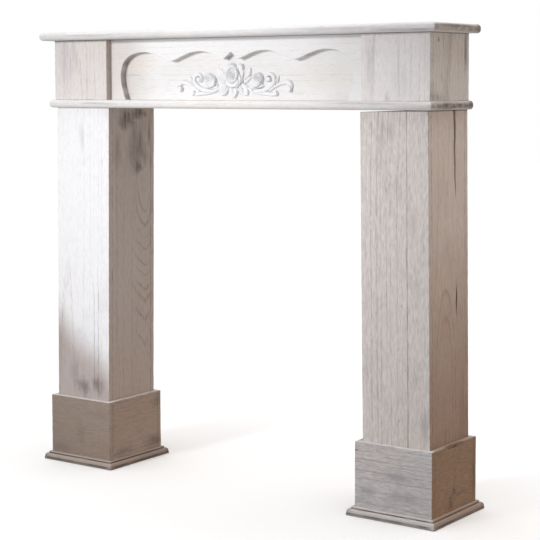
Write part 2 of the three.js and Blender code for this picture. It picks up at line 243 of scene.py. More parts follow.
def add_board(node, along, across, material, heart, seed, rub=0.5, bend=None, carve=None,
              extras=((), (), ()), straight=None, end_material=None):
    """A worn board in the place of one node. bend moves all its points, and carve changes the raw points
    and says how dark each is. The end material covers its right end, so that the end looks like the side
    that it is part of."""
    sizes = bpy.context.scene.mantel_sizes
    low, high = straight if straight else node_box(node)
    points, quads, edge = lattice_board(low, high, sizes.edge_round, sizes.board_pitch, extras)
    grain = grain_vector(points, low, high, along, across, heart, seed * 0.731)
    wear = waves(points, 30 * MM, seed) + 0.6 * waves(points, 9 * MM, seed + 50)
    rounding = sizes.edge_round * (1 + sizes.edge_wear * np.clip(wear, -1, 1.5))
    eased = ease_edges(points, low, high, rounding)
    dark = np.zeros(len(points))
    if carve:
        eased, dark = carve(points, eased, dark)
    if bend:
        eased = bend(eased)
    rubbed = np.full(len(points), rub) * (0.6 + 0.4 * np.clip(waves(points, 120 * MM, seed + 9), -1, 1))
    ends = (points[quads][:, :, X] > high[X] - 1e-6).all(axis=1)
    add_piece(f"worn_{node}", eased, quads, [node], material, {
        "grain": grain, "edge": edge, "rub": rubbed, "dark": dark}, ends, end_material)


def carry_profile(rings):
    """Quads between rings of points, each ring closed, from the first ring to the last, and a cap on each
    end."""
    count = len(rings[0])
    rows = np.arange(len(rings) * count).reshape(len(rings), count)
    beside = np.roll(rows, -1, axis=1)
    quads = np.stack([rows[:-1], beside[:-1], beside[1:], rows[1:]], axis=-1).reshape(-1, 4)
    faces = [list(q) for q in quads]
    faces.append(list(rows[0][::-1]))
    faces.append(list(rows[-1]))
    return np.concatenate(rings), faces


# Finishes

class Finish:
    """One material, with short calls that add nodes and join them. A value given to a call is a number, a
    colour, a vector or another node's output."""

    def __init__(self, name):
        self.material = bpy.data.materials.new(name)
        self.material.use_nodes = True
        self.tree = self.material.node_tree
        self.shader = self.tree.nodes["Principled BSDF"]

    def put(self, value, socket):
        if isinstance(value, bpy.types.NodeSocket):
            self.tree.links.new(value, socket)
        elif hasattr(value, "__len__") and len(value) == 3 and len(socket.default_value) == 4:
            socket.default_value = (*value, 1)
        else:
            socket.default_value = value

    def node(self, kind, inputs, **settings):
        made = self.tree.nodes.new(kind)
        for key, value in settings.items():
            setattr(made, key, value)
        for key, value in inputs.items():
            self.put(value, made.inputs[key])
        return made

    def attribute(self, name, field="Fac"):
        return self.node("ShaderNodeAttribute", {}, attribute_name=name).outputs[field]

    def math(self, operation, a, b=0.0):
        return self.node("ShaderNodeMath", {0: a, 1: b}, operation=operation).outputs[0]

    def times(self, first, *factors):
        """The product of the values."""
        for factor in factors:
            first = self.math("MULTIPLY", first, factor)
        return first

    def plus(self, first, *terms):
        """The sum of the values."""
        for term in terms:
            first = self.math("ADD", first, term)
        return first

    def vector(self, operation, a, b=(0, 0, 0), field="Vector"):
        return self.node("ShaderNodeVectorMath", {0: a, 1: b}, operation=operation).outputs[field]

    def part(self, vector, axis):
        return self.node("ShaderNodeSeparateXYZ", {"Vector": vector}).outputs[axis]

    def place(self):
        return self.node("ShaderNodeTexCoord", {}).outputs["Object"]

    def noise(self, vector, scale, detail=2.0, roughness=0.5):
        made = self.node("ShaderNodeTexNoise", {
            "Vector": vector, "Scale": scale, "Detail": detail, "Roughness": roughness})
        return made.outputs["Fac"]

    def fibres(self, grain, draw, scale, detail=2.0, roughness=0.5):
        """Noise drawn out along the grain, where its coordinate is multiplied by draw."""
        return self.noise(self.vector("MULTIPLY", grain, (1, 1, draw)), scale, detail, roughness)

    def shifted(self, value, spread):
        """Turns a value from 0 to 1 into one from minus to plus half of the spread."""
        made = self.node("ShaderNodeMath", {0: value, 1: spread, 2: -spread / 2}, operation="MULTIPLY_ADD")
        return made.outputs[0]

    def ramp(self, value, start, end, low=0.0, high=1.0):
        made = self.node("ShaderNodeMapRange", {
            "Value": value, "From Min": start, "From Max": end, "To Min": low, "To Max": high})
        made.interpolation_type = "SMOOTHSTEP"
        return made.outputs["Result"]

    def blend(self, share, first, second):
        made = self.node("ShaderNodeMix", {}, data_type="RGBA")
        self.put(share, made.inputs["Factor"])
        self.put(first, made.inputs[6])
        self.put(second, made.inputs[7])
        return made.outputs[2]

    def bump(self, height, distance, strength):
        made = self.node("ShaderNodeBump", {"Height": height, "Distance": distance, "Strength": strength})
        self.put(made.outputs["Normal"], self.shader.inputs["Normal"])


def blot(finish, place, streak, centre, radii, ragged):
    """How much of a smudge is at each place: an ellipsoid round centre whose outline is pushed about by
    noise, and which is broken up along the grain by the streaks."""
    scaled = finish.vector("DIVIDE", finish.vector("SUBTRACT", place, centre), radii)
    rough = finish.noise(scaled, 1.6, 4.0, 0.62)
    reach = finish.plus(finish.vector("LENGTH", scaled, field="Value"), finish.shifted(rough, ragged))
    return finish.times(finish.ramp(reach, 1.05, 0.15), finish.ramp(streak, 0.3, 0.66, 0.45, 1.0))


def ring_lines(finish, grain, place, ring_pitch, cone):
    """The dark lines of the growth rings, from 0 to 1. They are circles round the heart in the board's
    section, pushed about by slow noise, so a flat board shows straight lines. The cone is (start, end, low,
    high, near, far): between two heights the heart goes from one depth to another, so the rings show as
    nested arches. They show from near to far on either side of the heart. Their spacing and strength vary,
    and they are broken into dashes."""
    start, end, low, high, near, far = cone
    drift = finish.shifted(finish.fibres(grain, 0.13, 8.0), 0.05)
    shake = finish.shifted(finish.fibres(grain, 0.2, 110.0), 0.9 * MM)
    dip = finish.ramp(finish.part(place, "Z"), start, end, low, high)
    across = finish.part(grain, "X")
    into = finish.plus(finish.part(grain, "Y"), drift, shake, dip)
    section = finish.node("ShaderNodeCombineXYZ", {"X": across, "Y": into}).outputs["Vector"]
    turns = finish.math("DIVIDE", finish.vector("LENGTH", section, field="Value"), ring_pitch)
    uneven = finish.node(
        "ShaderNodeTexNoise", {"W": turns, "Scale": 0.8, "Detail": 1.0}, noise_dimensions="1D").outputs["Fac"]
    turns = finish.plus(turns, finish.shifted(uneven, 1.1))
    turn = finish.math("FRACT", turns)
    own = finish.node("ShaderNodeTexWhiteNoise", {"W": finish.math("FLOOR", turns)}, noise_dimensions="1D")
    dashes = finish.fibres(grain, 0.07, 340.0, 3.0, 0.65)
    beside = finish.math("ABSOLUTE", across)
    return finish.times(
        finish.ramp(turn, 0.7, 0.94),
        finish.ramp(turn, 1.0, 0.96),
        finish.ramp(dashes, 0.38, 0.6, 0.1, 1.0),
        finish.ramp(beside, far * 1.5, far * 0.8, 0.3, 1.0),
        finish.ramp(beside, near - 4 * MM, near, 0.25, 1.0),
        finish.ramp(own.outputs["Value"], 0.0, 1.0, 0.35, 1.0))


def seam(finish, grain, place, position, half_width, low, high):
    """A dark broken line along the grain at one place across the board. It fades in and out at two
    heights."""
    fade = 50 * MM
    wander = finish.shifted(finish.noise(finish.vector("MULTIPLY", grain, (0, 0, 1)), 16.0, 3.0), 1.6 * MM)
    away = finish.math("ABSOLUTE", finish.plus(finish.part(grain, "X"), -position, wander))
    height = finish.part(place, "Z")
    dashes = finish.fibres(grain, 0.1, 260.0, 3.0)
    return finish.times(
        finish.ramp(away, half_width, half_width * 0.2), finish.ramp(height, low, low + fade),
        finish.ramp(height, high, high - fade), finish.ramp(dashes, 0.36, 0.6, 0.2, 1.0))


NO_CONE = (0.0, 1.0, 0.0, 0.0, 0.0, 1.0)


def whitewashed_wood(name, wash, cover, ring_pitch=12 * MM, ring_depth=0.34, edge_width=2.4 * MM, smudges=0.4,
                     warmth=0.35, mottle=0.4, cone=NO_CONE, blots=(), fades=(), covers=(), seams=()):
    """Softwood under whitewash. The wash is thin over the dark ring lines, along fine fibres and in
    patches, and edges are rubbed through. Cool smudges and warm patches lie over it, and a fine mottle.
    Each blot is (centre, radii, colour, strength, ragged). Each fade is (direction, start, end, tint,
    strength, wander): between two distances along the direction, the colour is multiplied by the tint. A
    cover is the same with a colour that hides the finish. Each seam is (position across the grain, half
    width, strength, low, high)."""
    colours = bpy.context.scene.mantel_colours
    finish = Finish(name)
    grain = finish.attribute("grain", "Vector")
    place = finish.place()
    rings = ring_lines(finish, grain, place, ring_pitch, cone)
    fibre = finish.fibres(grain, 0.1, 640.0, 3.0, 0.68)
    streak = finish.fibres(grain, 0.07, 190.0, 4.0, 0.65)
    patch = finish.fibres(grain, 0.4, 17.0, 5.0, 0.65)
    warm = finish.fibres(grain, 0.35, 7.0, 3.0, 0.6)
    speck = finish.fibres(grain, 0.17, 360.0, 3.0, 0.7)

    thin = finish.plus(finish.times(rings, ring_depth), finish.ramp(fibre, 0.44, 0.74, 0.0, 0.26),
                       finish.ramp(streak, 0.5, 0.8, 0.0, 0.2))
    coverage = finish.math("SUBTRACT", cover, thin)
    coverage.node.use_clamp = True
    colour = finish.blend(coverage, colours.bare_wood, wash)
    warmed = finish.vector("MULTIPLY", colour, (0.97, 0.88, 0.78))
    colour = finish.blend(finish.ramp(warm, 0.46, 0.72, 0.0, warmth), colour, warmed)
    brushed = finish.times(finish.ramp(patch, 0.5, 0.74), finish.ramp(fibre, 0.36, 0.62, 0.3, 1.0), smudges)
    colour = finish.blend(brushed, colour, finish.vector("MULTIPLY", colour, (0.66, 0.66, 0.70)))
    colour = finish.vector("MULTIPLY", colour, finish.plus(finish.shifted(speck, mottle), 1.0))

    def share_along(direction, start, end, strength, wander):
        """How much of a fade is at each place."""
        moved = finish.plus(finish.vector("DOT_PRODUCT", place, direction, "Value"),
                            finish.shifted(finish.noise(grain, 9.0, 4.0, 0.6), wander))
        return finish.times(finish.ramp(moved, start, end), strength)

    for direction, start, end, tint, strength, wander in fades:
        share = share_along(direction, start, end, strength, wander)
        colour = finish.blend(share, colour, finish.vector("MULTIPLY", colour, tint))
    for direction, start, end, shade, strength, wander in covers:
        colour = finish.blend(share_along(direction, start, end, strength, wander), colour, shade)
    for centre, radii, shade, strength, ragged in blots:
        share = finish.times(blot(finish, place, streak, centre, radii, ragged), strength)
        colour = finish.blend(share, colour, shade)
    for position, half_width, strength, low, high in seams:
        share = finish.times(seam(finish, grain, place, position, half_width, low, high), strength)
        colour = finish.blend(share, colour, colours.rubbed)

    ragged_edge = finish.shifted(finish.noise(place, 190.0, 3.0, 0.65), 3.2 * MM)
    edge = finish.plus(finish.attribute("edge"), ragged_edge)
    broken = finish.ramp(finish.noise(place, 60.0, 3.0, 0.6), 0.38, 0.62)
    worn = finish.times(finish.ramp(edge, edge_width, 0.2 * MM), broken, finish.attribute("rub"))
    worn.node.use_clamp = True
    colour = finish.blend(worn, colour, colours.rubbed)
    # The dark attribute paints cracks and chips, painted shade on the fret's cut edge, and the mouldings'
    # groove lines.
    colour = finish.blend(finish.attribute("dark"), colour, colours.crack)

    finish.put(colour, finish.shader.inputs["Base Color"])
    finish.put(finish.ramp(coverage, 0.2, 0.95, 0.82, 0.6), finish.shader.inputs["Roughness"])
    finish.shader.inputs["Specular IOR Level"].default_value = 0.3
    finish.bump(finish.plus(finish.times(rings, -0.6), fibre), 0.2 * MM, 0.6)
    return finish.material


def cast_paint():
    """Cool white paint on the cast ornament, a little greyer in clouds. The hollows are darker with
    painted shade and grime.
    """
    colours = bpy.context.scene.mantel_colours
    finish = Finish("cast_white_paint")
    place = finish.place()
    speckle = finish.noise(place, 420.0, 4.0, 0.6)
    cloud = finish.noise(place, 45.0, 3.0, 0.55)
    hollow = finish.ramp(finish.attribute("hollow"), 0.2, 1.0)
    grime_and_shade = finish.times(hollow, finish.ramp(cloud, 0.3, 0.7, 0.5, 0.85))
    colour = finish.blend(finish.ramp(cloud, 0.35, 0.75, 0.0, 0.35), colours.cast_white, (0.78, 0.77, 0.77))
    colour = finish.blend(grime_and_shade, colour, (0.42, 0.40, 0.40))
    finish.put(colour, finish.shader.inputs["Base Color"])
    finish.put(finish.ramp(cloud, 0.3, 0.7, 0.5, 0.66), finish.shader.inputs["Roughness"])
    finish.shader.inputs["Specular IOR Level"].default_value = 0.35
    finish.bump(speckle, 0.08 * MM, 0.6)
    return finish.material


# Shelf and ledge

def nosed_board(node, material, heart, seed, rubs):
    """A board whose front and both ends are rounded, with mitred front corners and a square back. The
    section goes round the nose in two quarter circles, each of which draws in by r(1 - sin(a)) and rises by
    r(1 - cos(a)) for the angle a. The grain runs along the edge strips, so it turns at each mitre. rubs
    gives how worn the front, left and right are."""
    low, high = node_box(node)
    pitch = 9 * MM
    xs = np.linspace(-1, 1, math.ceil((high[X] - low[X]) / pitch) + 1)
    ys = np.linspace(0, 1, math.ceil((high[Y] - low[Y]) / pitch) + 1)
    u = np.concatenate([xs, np.ones(len(ys) - 1), xs[::-1][1:], -np.ones(len(ys) - 2)])
    v = np.concatenate([np.zeros(len(xs)), ys[1:], np.ones(len(xs) - 1), ys[::-1][1:-1]])
    half = (high[X] - low[X]) / 2
    thickness = high[Z] - low[Z]
    radius = min(bpy.context.scene.mantel_sizes.nose_round, thickness * 0.47)
    angles = np.radians(np.linspace(0, 90, 9))
    inset = np.concatenate([radius * (1 - np.sin(angles)), radius * (1 - np.sin(angles[::-1]))])
    rise = np.concatenate([radius * (1 - np.cos(angles)), thickness - radius * (1 - np.cos(angles[::-1]))])
    face_edge = radius + 1.2 * MM
    inset = np.concatenate([[face_edge], inset, [face_edge]])
    rise = np.concatenate([[0.0], rise, [thickness]])
    rings = []
    edges = []
    for ring_inset, ring_rise in zip(inset, rise):
        ring = np.stack([
            u * (half - ring_inset),
            low[Y] + ring_inset + v * (high[Y] - low[Y] - ring_inset),
            np.full(len(u), low[Z] + ring_rise)], axis=1)
        dent = np.clip(waves(ring, 45 * MM, seed) + 0.7 * waves(ring, 14 * MM, seed + 3), 0.2, 2) - 0.2
        nose = np.clip(1 - ring_inset / radius, 0, 1)
        ring[:, X] -= u * (np.abs(u) > 0.999) * dent * nose * 0.35 * MM
        ring[:, Y] += (v < 0.001) * dent * nose * 0.3 * MM
        rings.append(ring)
        middle = abs(ring_rise - thickness / 2)
        edges.append(np.full(len(u), 0.6 * MM + 0.35 * middle + 9 * MM * (ring_inset > radius)))
    points, faces = carry_profile(rings)
    sizes = [len(face) for face in faces]
    owner = np.repeat(np.arange(len(faces)), sizes)
    corners = np.concatenate([np.array(face) for face in faces])
    centre = np.add.reduceat(points[corners], np.cumsum([0] + sizes[:-1])) / np.array(sizes)[:, None]
    reach = half - np.abs(centre[:, X])
    on_end = (reach < centre[:, Y] - low[Y]) & (reach < radius + 1.0 * MM)
    main = grain_vector(points, low, high, X, Y, heart, seed)
    ends = grain_vector(points, low, high, Y, X, (0.3, 0.03), seed + 2)
    grain = np.where(on_end[owner][:, None], ends[corners], main[corners])
    front_rub, left_rub, right_rub = rubs
    rub = np.where(on_end, np.where(centre[:, X] > 0, right_rub, left_rub), front_rub)
    edge = np.concatenate(edges)
    add_piece(f"worn_{node}", points, faces, [node], material, {
        "grain": grain, "edge": edge, "rub": rub[owner], "dark": np.zeros(len(points))})


class MANTEL_OT_shelves(bpy.types.Operator):
    """Make the shelf on top and the ledge under the header."""

    bl_idname = "mantel.shelves"
    bl_label = "Shelf and ledge"

    def execute(self, context):
        colours = context.scene.mantel_colours
        (_, shelf_front, _), (shelf_end, shelf_back, shelf_top) = node_box("mantel_shelf")
        (_, ledge_front, _), (ledge_end, ledge_back, ledge_top) = node_box("ledge_board")
        smoke = tuple(colours.smoke)
        dark = tuple(colours.rubbed)
        # Painted shade: the shelf and the ledge are tinted darker towards both ends, where the window light
        # falls off.
        painted_ledge_shade = (RIGHTWARDS, -0.2, 0.5, (0.88, 0.865, 0.88), 1.0, 0.1)
        painted_shelf_shade = (RIGHTWARDS, -0.2, 0.5, (0.94, 0.94, 0.965), 1.0, 0.1)
        painted_left_shade = (RIGHTWARDS, 0.0, -0.3, (0.87, 0.875, 0.885), 1.0, 0.1)
        beige = (RIGHTWARDS, shelf_end - 4 * MM, shelf_end - 1 * MM, (0.68, 0.59, 0.5), 0.6, 4 * MM)
        shelf_blots = [
            ((shelf_end, shelf_back - 0.1, shelf_top - 0.005), (0.02, 0.12, 0.004), dark, 0.6, 1.0),
            ((shelf_end, shelf_back, shelf_top - 0.008), (0.03, 0.02, 0.016), dark, 0.75, 0.8),
            ((-0.37, shelf_front, shelf_top - 0.009), (0.1, 0.02, 0.004), smoke, 0.35, 0.9),
            ((0.3, shelf_front, shelf_top - 0.009), (0.14, 0.02, 0.006), smoke, 0.25, 1.2),
            ((0.46, shelf_front, shelf_top - 0.014), (0.1, 0.02, 0.005), dark, 0.4, 1.3),
        ]
        ledge_blots = [
            ((ledge_end, ledge_back - 0.08, ledge_top - 0.010), (0.02, 0.12, 0.009), dark, 0.62, 1.0),
            ((ledge_end, ledge_back, ledge_top - 0.008), (0.03, 0.025, 0.018), dark, 0.7, 0.7),
            ((-0.35, ledge_front, ledge_top - 0.008), (0.09, 0.02, 0.005), smoke, 0.3, 1.0),
            ((0.36, ledge_front, ledge_top - 0.005), (0.14, 0.02, 0.004), smoke, 0.35, 1.3),
            ((0.47, ledge_front, ledge_top - 0.012), (0.06, 0.02, 0.006), smoke, 0.3, 1.3),
        ]
        shared = {
            "cover": 1.1, "ring_pitch": 6 * MM, "ring_depth": 0.2, "edge_width": 3.5 * MM, "mottle": 0.2}
        shelf = whitewashed_wood("whitewashed_shelf_wood", tinted(colours.wash, (0.95, 0.95, 0.96)),
                                 blots=shelf_blots, fades=(painted_shelf_shade, painted_left_shade, beige), **shared)
        ledge = whitewashed_wood("whitewashed_ledge_wood", colours.wash,
                                 blots=ledge_blots, fades=(painted_ledge_shade, painted_left_shade), **shared)
        nosed_board("mantel_shelf", shelf, (0.02, 0.05), 11, (0.05, 0.1, 0.6))
        nosed_board("ledge_board", ledge, (0.03, 0.04), 12, (0.05, 0.1, 0.75))
        return {"FINISHED"}


# Header

def box_boards(kind):
    """The boards of the boxes of one kind on both sides, each as a running number, its side, its place, its
    node and the level axis along its face."""
    for side_index, side in enumerate(SIDES):
        for place_index, place in enumerate(BOX_PLACES):
            number = side_index * len(BOX_PLACES) + place_index
            axis = X if place in ("front", "back") else Y
            yield number, side, place, f"{side}_{kind}_{place}_board", axis


def painted_shelf_shadow(top):
    """A fade that paints the shelf's shadow on the top millimetres of the header's boards."""
    return (UPWARDS, top - 2.4 * MM, top - 0.6 * MM, (0.1, 0.08, 0.07), 0.6, 1 * MM)


class MANTEL_OT_header_blocks(bpy.types.Operator):
    """Make the two end blocks and the board that closes the header's back."""

    bl_idname = "mantel.header_blocks"
    bl_label = "Header blocks"

    def execute(self, context):
        colours = context.scene.mantel_colours
        _, high = node_box("right_block_outer_board")
        low, _ = node_box("left_block_front_board")
        middle = (low[Z] + high[Z]) / 2
        smoke = tuple(colours.smoke)
        # gap is the painted shadow of the shelf along the tops of the block boards.
        gap = painted_shelf_shadow(high[Z])
        side_blots = [
            ((high[X], high[Y] - 0.003, middle + 0.03), (0.01, 0.008, 0.06), smoke, 0.85, 1.0),
            ((high[X], high[Y] - 0.158, middle - 0.01), (0.012, 0.013, 0.08), smoke, 0.8, 1.1),
            ((high[X], high[Y] - 0.156, middle - 0.045), (0.012, 0.02, 0.02), smoke, 0.5, 1.0),
            ((high[X], high[Y] - 0.113, middle + 0.053), (0.006, 0.005, 0.007), smoke, 0.8, 0.4),
            ((high[X], high[Y] - 0.13, middle - 0.06), (0.006, 0.05, 0.014), smoke, 0.4, 1.0),
        ]
        left_blots = [
            ((low[X] + 0.035, low[Y], middle), (0.03, 0.02, 0.07), (0.42, 0.41, 0.44), 0.3, 1.2),
            ((low[X] + 0.1, low[Y], middle - 0.02), (0.03, 0.02, 0.05), (0.5, 0.47, 0.49), 0.2, 1.2),
        ]
        right_blots = [
            ((0.362, low[Y], middle), (0.016, 0.02, 0.08), (0.4, 0.39, 0.42), 0.4, 1.1),
            ((0.43, low[Y], middle - 0.03), (0.03, 0.02, 0.05), (0.5, 0.48, 0.5), 0.25, 1.2),
        ]
        wash = colours.wash
        # Painted shade: the left block's wash is darker than the right block's, to even out the window
        # light's brighter pool on it.
        left = whitewashed_wood("whitewashed_left_block_wood", tinted(wash, (0.82, 0.79, 0.79)), 1.06,
                                blots=left_blots, fades=(gap,))
        right = whitewashed_wood("whitewashed_right_block_wood", tinted(wash, (0.94, 0.92, 0.93)), 1.05,
                                 blots=right_blots, fades=(gap,))
        side_wood = whitewashed_wood("whitewashed_block_side_wood", wash, 1.05, ring_pitch=10 * MM,
                                     blots=side_blots, fades=(gap,))
        # Painted shade: the blocks' inner boards, which face away from the light, take a darker wash.
        inner_wood = whitewashed_wood("rubbed_and_shaded_block_inner_wood", tinted(wash, (0.66, 0.6, 0.57)), 1.0)
        shared = {"back": side_wood, "inner": inner_wood, "outer": side_wood}
        finishes = {
            "left": {"front": left, "end": inner_wood, **shared},
            "right": {"front": right, "end": side_wood, **shared},
        }
        hearts = {"front": (0.02, 0.045), "back": (0.01, 0.05), "inner": (0.0, 0.06), "outer": (0.012, 0.028)}
        for number, side, place, node, axis in box_boards("block"):
            add_board(node, Z, axis, finishes[side][place], hearts[place], 20 + number,
                      end_material=finishes[side]["end"] if axis == X else None)
        add_board("header_back_board", X, Z, side_wood, (0.02, 0.05), 29)
        return {"FINISHED"}


def bezier(start, first, second, end, steps):
    """Points along a cubic curve, as an array."""
    t = np.linspace(0, 1, steps + 1)[:, None]
    a, b, c, d = (np.array(p, float) for p in (start, first, second, end))
    return a * (1 - t) ** 3 + 3 * b * t * (1 - t) ** 2 + 3 * c * t ** 2 * (1 - t) + d * t ** 3


def fret_half_edge(inner, height):
    """The right half of the fret board's lower edge, from the peak in the middle round to the foot. Beside
    the peak it is a row of waves: the height is the valley's plus the wave depth times (a raised cosine) to
    the power of the valley sharpness. Past the outer crest it swells to the side and comes back in along
    two curves."""
    sizes = bpy.context.scene.frieze_sizes
    foot = inner - sizes.foot_width
    bulge = inner - sizes.side_width
    crest_half = bulge - sizes.shoulder
    crest = height - sizes.rail_height
    pitch = (crest_half - sizes.cusp_half_width) / sizes.waves_per_half
    x = np.linspace(sizes.cusp_half_width, crest_half, 90)
    wave = np.maximum(1 + np.cos(2 * np.pi * (crest_half - x) / pitch), 0) / 2
    z = crest - sizes.wave_depth + sizes.wave_depth * wave ** sizes.valley_sharpness
    flank_steps = 6
    t = np.linspace(0, 1, flank_steps, endpoint=False)
    peak = np.array([0, crest - sizes.peak_drop])
    flank = peak + t[:, None] * (np.array([x[0], z[0]]) - peak)
    bulge_z = sizes.bulge_height
    shoulder = bezier(
        (crest_half, crest), (crest_half + sizes.shoulder * 0.6, crest),
        (bulge, crest - (crest - bulge_z) * 0.33), (bulge, bulge_z), 26)
    waist = bezier(
        (bulge, bulge_z), (bulge, bulge_z * 0.66), ((foot + bulge) / 2, bulge_z * 0.3), (foot, 0), 16)
    return np.concatenate([flank, np.stack([x, z], axis=1), shoulder[1:], waist[1:]])


def outline_normals(outline):
    """Vectors that point into a closed outline that runs anticlockwise, from the two neighbours of each
    point. They are evened out along the outline, so that lines drawn in from a sharp point don't cross."""
    along = np.roll(outline, -1, axis=0) - np.roll(outline, 1, axis=0)
    along /= np.linalg.norm(along, axis=1, keepdims=True)
    inwards = np.stack([-along[:, 1], along[:, 0]], axis=1)
    for _ in range(3):
        inwards = (np.roll(inwards, -1, axis=0) + 2 * inwards + np.roll(inwards, 1, axis=0)) / 4
    return inwards


def fret_surface(low, high):
    """The fret board between two corners of its box, with an eased and rubbed scalloped edge. The outline
    is carried from the back to the front and drawn in there. Returns the points, the faces, each point's
    distance from the scalloped edge, and how dark it is: painted shade on the cut edge where it faces
    right, away from the light, varying along the edge."""
    inner = high[X]
    drop = high[Z] - low[Z]
    right = fret_half_edge(inner, drop)
    left = right[1:][::-1] * (-1, 1)
    edge_line = np.concatenate([left, right])
    frame_pitch = 12 * MM
    sides = np.linspace(0, drop, math.ceil(drop / frame_pitch) + 1)
    tops = np.linspace(inner, -inner, math.ceil(2 * inner / frame_pitch) + 1)
    border = np.concatenate([
        np.stack([np.full(len(sides), inner), sides], axis=1),
        np.stack([tops[1:-1], np.full(len(tops) - 2, drop)], axis=1),
        np.stack([np.full(len(sides), -inner), sides[::-1]], axis=1),
    ])
    outline = np.concatenate([edge_line, border])
    scalloped = np.arange(len(outline)) < len(edge_line)
    inwards = outline_normals(outline)
    easing = 1.1 * MM
    along = np.concatenate([np.cumsum(np.linalg.norm(np.diff(edge_line, axis=0), axis=1)), [0]])
    worn = np.zeros(len(outline))
    worn[:len(edge_line)] = 0.35 * np.sin(along / (17 * MM)) * np.sin(along / (5.3 * MM))
    # Painted shade: the cut edge is darkened where it faces right, away from the light.
    facing = np.clip(0.15 - 1.6 * inwards[:, 0] - 0.5 * np.abs(inwards[:, 1]) * (inwards[:, 0] > 0), 0, 1)
    rings = []
    edges = []
    darks = []
    angles = np.radians([0, 30, 60, 90])
    eased = [(easing * (1 - math.cos(a)), easing * (1 - math.sin(a))) for a in angles]
    support = easing + 0.3 * MM
    steps = [(0.0, high[Y] - low[Y]), *eased, (support, 0.0)]
    painted_edge_shades = (0.62, 0.4, 0.4, 0.4, 0.0, 0.0)
    for (inset, back), shade in zip(steps, painted_edge_shades):
        drawn = outline + inwards * inset * np.where(scalloped, 1 + worn, 0.25)[:, None]
        ring = np.stack([drawn[:, 0], np.full(len(drawn), low[Y] + back), low[Z] + drawn[:, 1]], axis=1)
        rings.append(ring)
        edges.append(np.where(scalloped, max(0.0, inset - easing * 0.3) + back * 0.5, 6 * MM))
        darks.append(np.where(scalloped, shade * (0.8 + worn) * facing, 0.0))
    points, faces = carry_profile(rings)
    return points, faces, np.concatenate(edges), np.concatenate(darks)


class MANTEL_OT_frieze(bpy.types.Operator):
    """Make the scalloped fret board and the panel behind it."""

    bl_idname = "mantel.frieze"
    bl_label = "Scalloped frieze"

    def execute(self, context):
        colours = context.scene.mantel_colours
        node = "scalloped_frieze_board"
        low, high = node_box(node)
        points, faces, edge, dark = fret_surface(low, high)
        # gap is the painted shadow of the shelf along the top of the fret board.
        gap = painted_shelf_shadow(high[Z])
        # Painted shade: the fret and the panel are tinted darker towards both ends, where the light falls
        # off.
        painted_left_shade = (RIGHTWARDS, -0.2, -0.32, (0.8, 0.765, 0.745), 1.0, 0.06)
        painted_right_shade = (RIGHTWARDS, 0.17, 0.32, (0.91, 0.905, 0.9), 1.0, 0.06)
        finish = whitewashed_wood("whitewashed_frieze_wood", tinted(colours.wash, (1.05, 1.07, 1.1)), 1.12,
                                  ring_pitch=11 * MM, ring_depth=0.2, edge_width=1.2 * MM, smudges=0.2,
                                  warmth=0.15, mottle=0.12, fades=(gap, painted_left_shade, painted_right_shade))
        grain = grain_vector(points, low, high, X, Z, (0.07, 0.03), 4.1)
        add_piece(f"worn_{node}", points, faces, [node], finish, {
            "grain": grain, "edge": edge, "rub": np.full(len(points), 0.1), "dark": dark})
        panel_blots = [
            ((-0.27, low[Y], low[Z] + 0.08), (0.06, 0.05, 0.03), (0.85, 0.72, 0.55), 0.3, 1.0),
            ((0.23, low[Y], low[Z] + 0.045), (0.11, 0.05, 0.045), (0.8, 0.7, 0.57), 0.25, 1.2),
        ]
        panel = whitewashed_wood("whitewashed_panel_wood", tinted(colours.wash, (1.0, 1.01, 1.03)), 1.1,
                                 ring_pitch=10 * MM, ring_depth=0.3, smudges=0.15, warmth=0.15, mottle=0.15,
                                 blots=panel_blots, fades=(painted_left_shade, painted_right_shade))
        add_board("frieze_back_panel", X, Z, panel, (0.05, 0.02), 31, rub=0.0)
        return {"FINISHED"}


# Legs

def upright_box(node, side):
    """The lowest and highest corners of a leg's board as it was before its head leaned into the opening and
    came down."""
    sizes = bpy.context.scene.mantel_sizes
    low, high = node_box(node)
    high[Z] = node_box("left_leg_inner_board")[1][Z]
    if side == "right":
        low[X] += sizes.right_leg_lean
    else:
        high[X] -= sizes.left_leg_lean
    return low, high


def leg_bend(side):
    """Leans a leg over its plinth: above the plinth, a point moves into the opening in proportion to its
    height. The right leg also comes down by a share of the head gap that grows towards the opening."""
    sizes = bpy.context.scene.mantel_sizes
    plinth = node_box(f"{side}_plinth_front_board")[1][Z]
    low, high = upright_box(f"{side}_leg_front_board", side)
    lean, gap = (sizes.left_leg_lean, 0.0) if side == "left" else (-sizes.right_leg_lean, sizes.right_leg_gap)

    def bend(points):
        rise = np.clip((points[:, Z] - plinth) / (high[Z] - plinth), 0, 1)
        share = (high[X] - points[:, X]) / (high[X] - low[X])
        moved = points.copy()
        moved[:, X] += lean * rise
        moved[:, Z] -= gap * share * rise
        return moved

    return bend


CRACK_LINES = (-1.2, -1.0, -0.65, 0.65, 1.0, 1.2)
CRACK_LINE_PITCH = 1.2 * MM
CRACK_DEPTH = 105 * MM


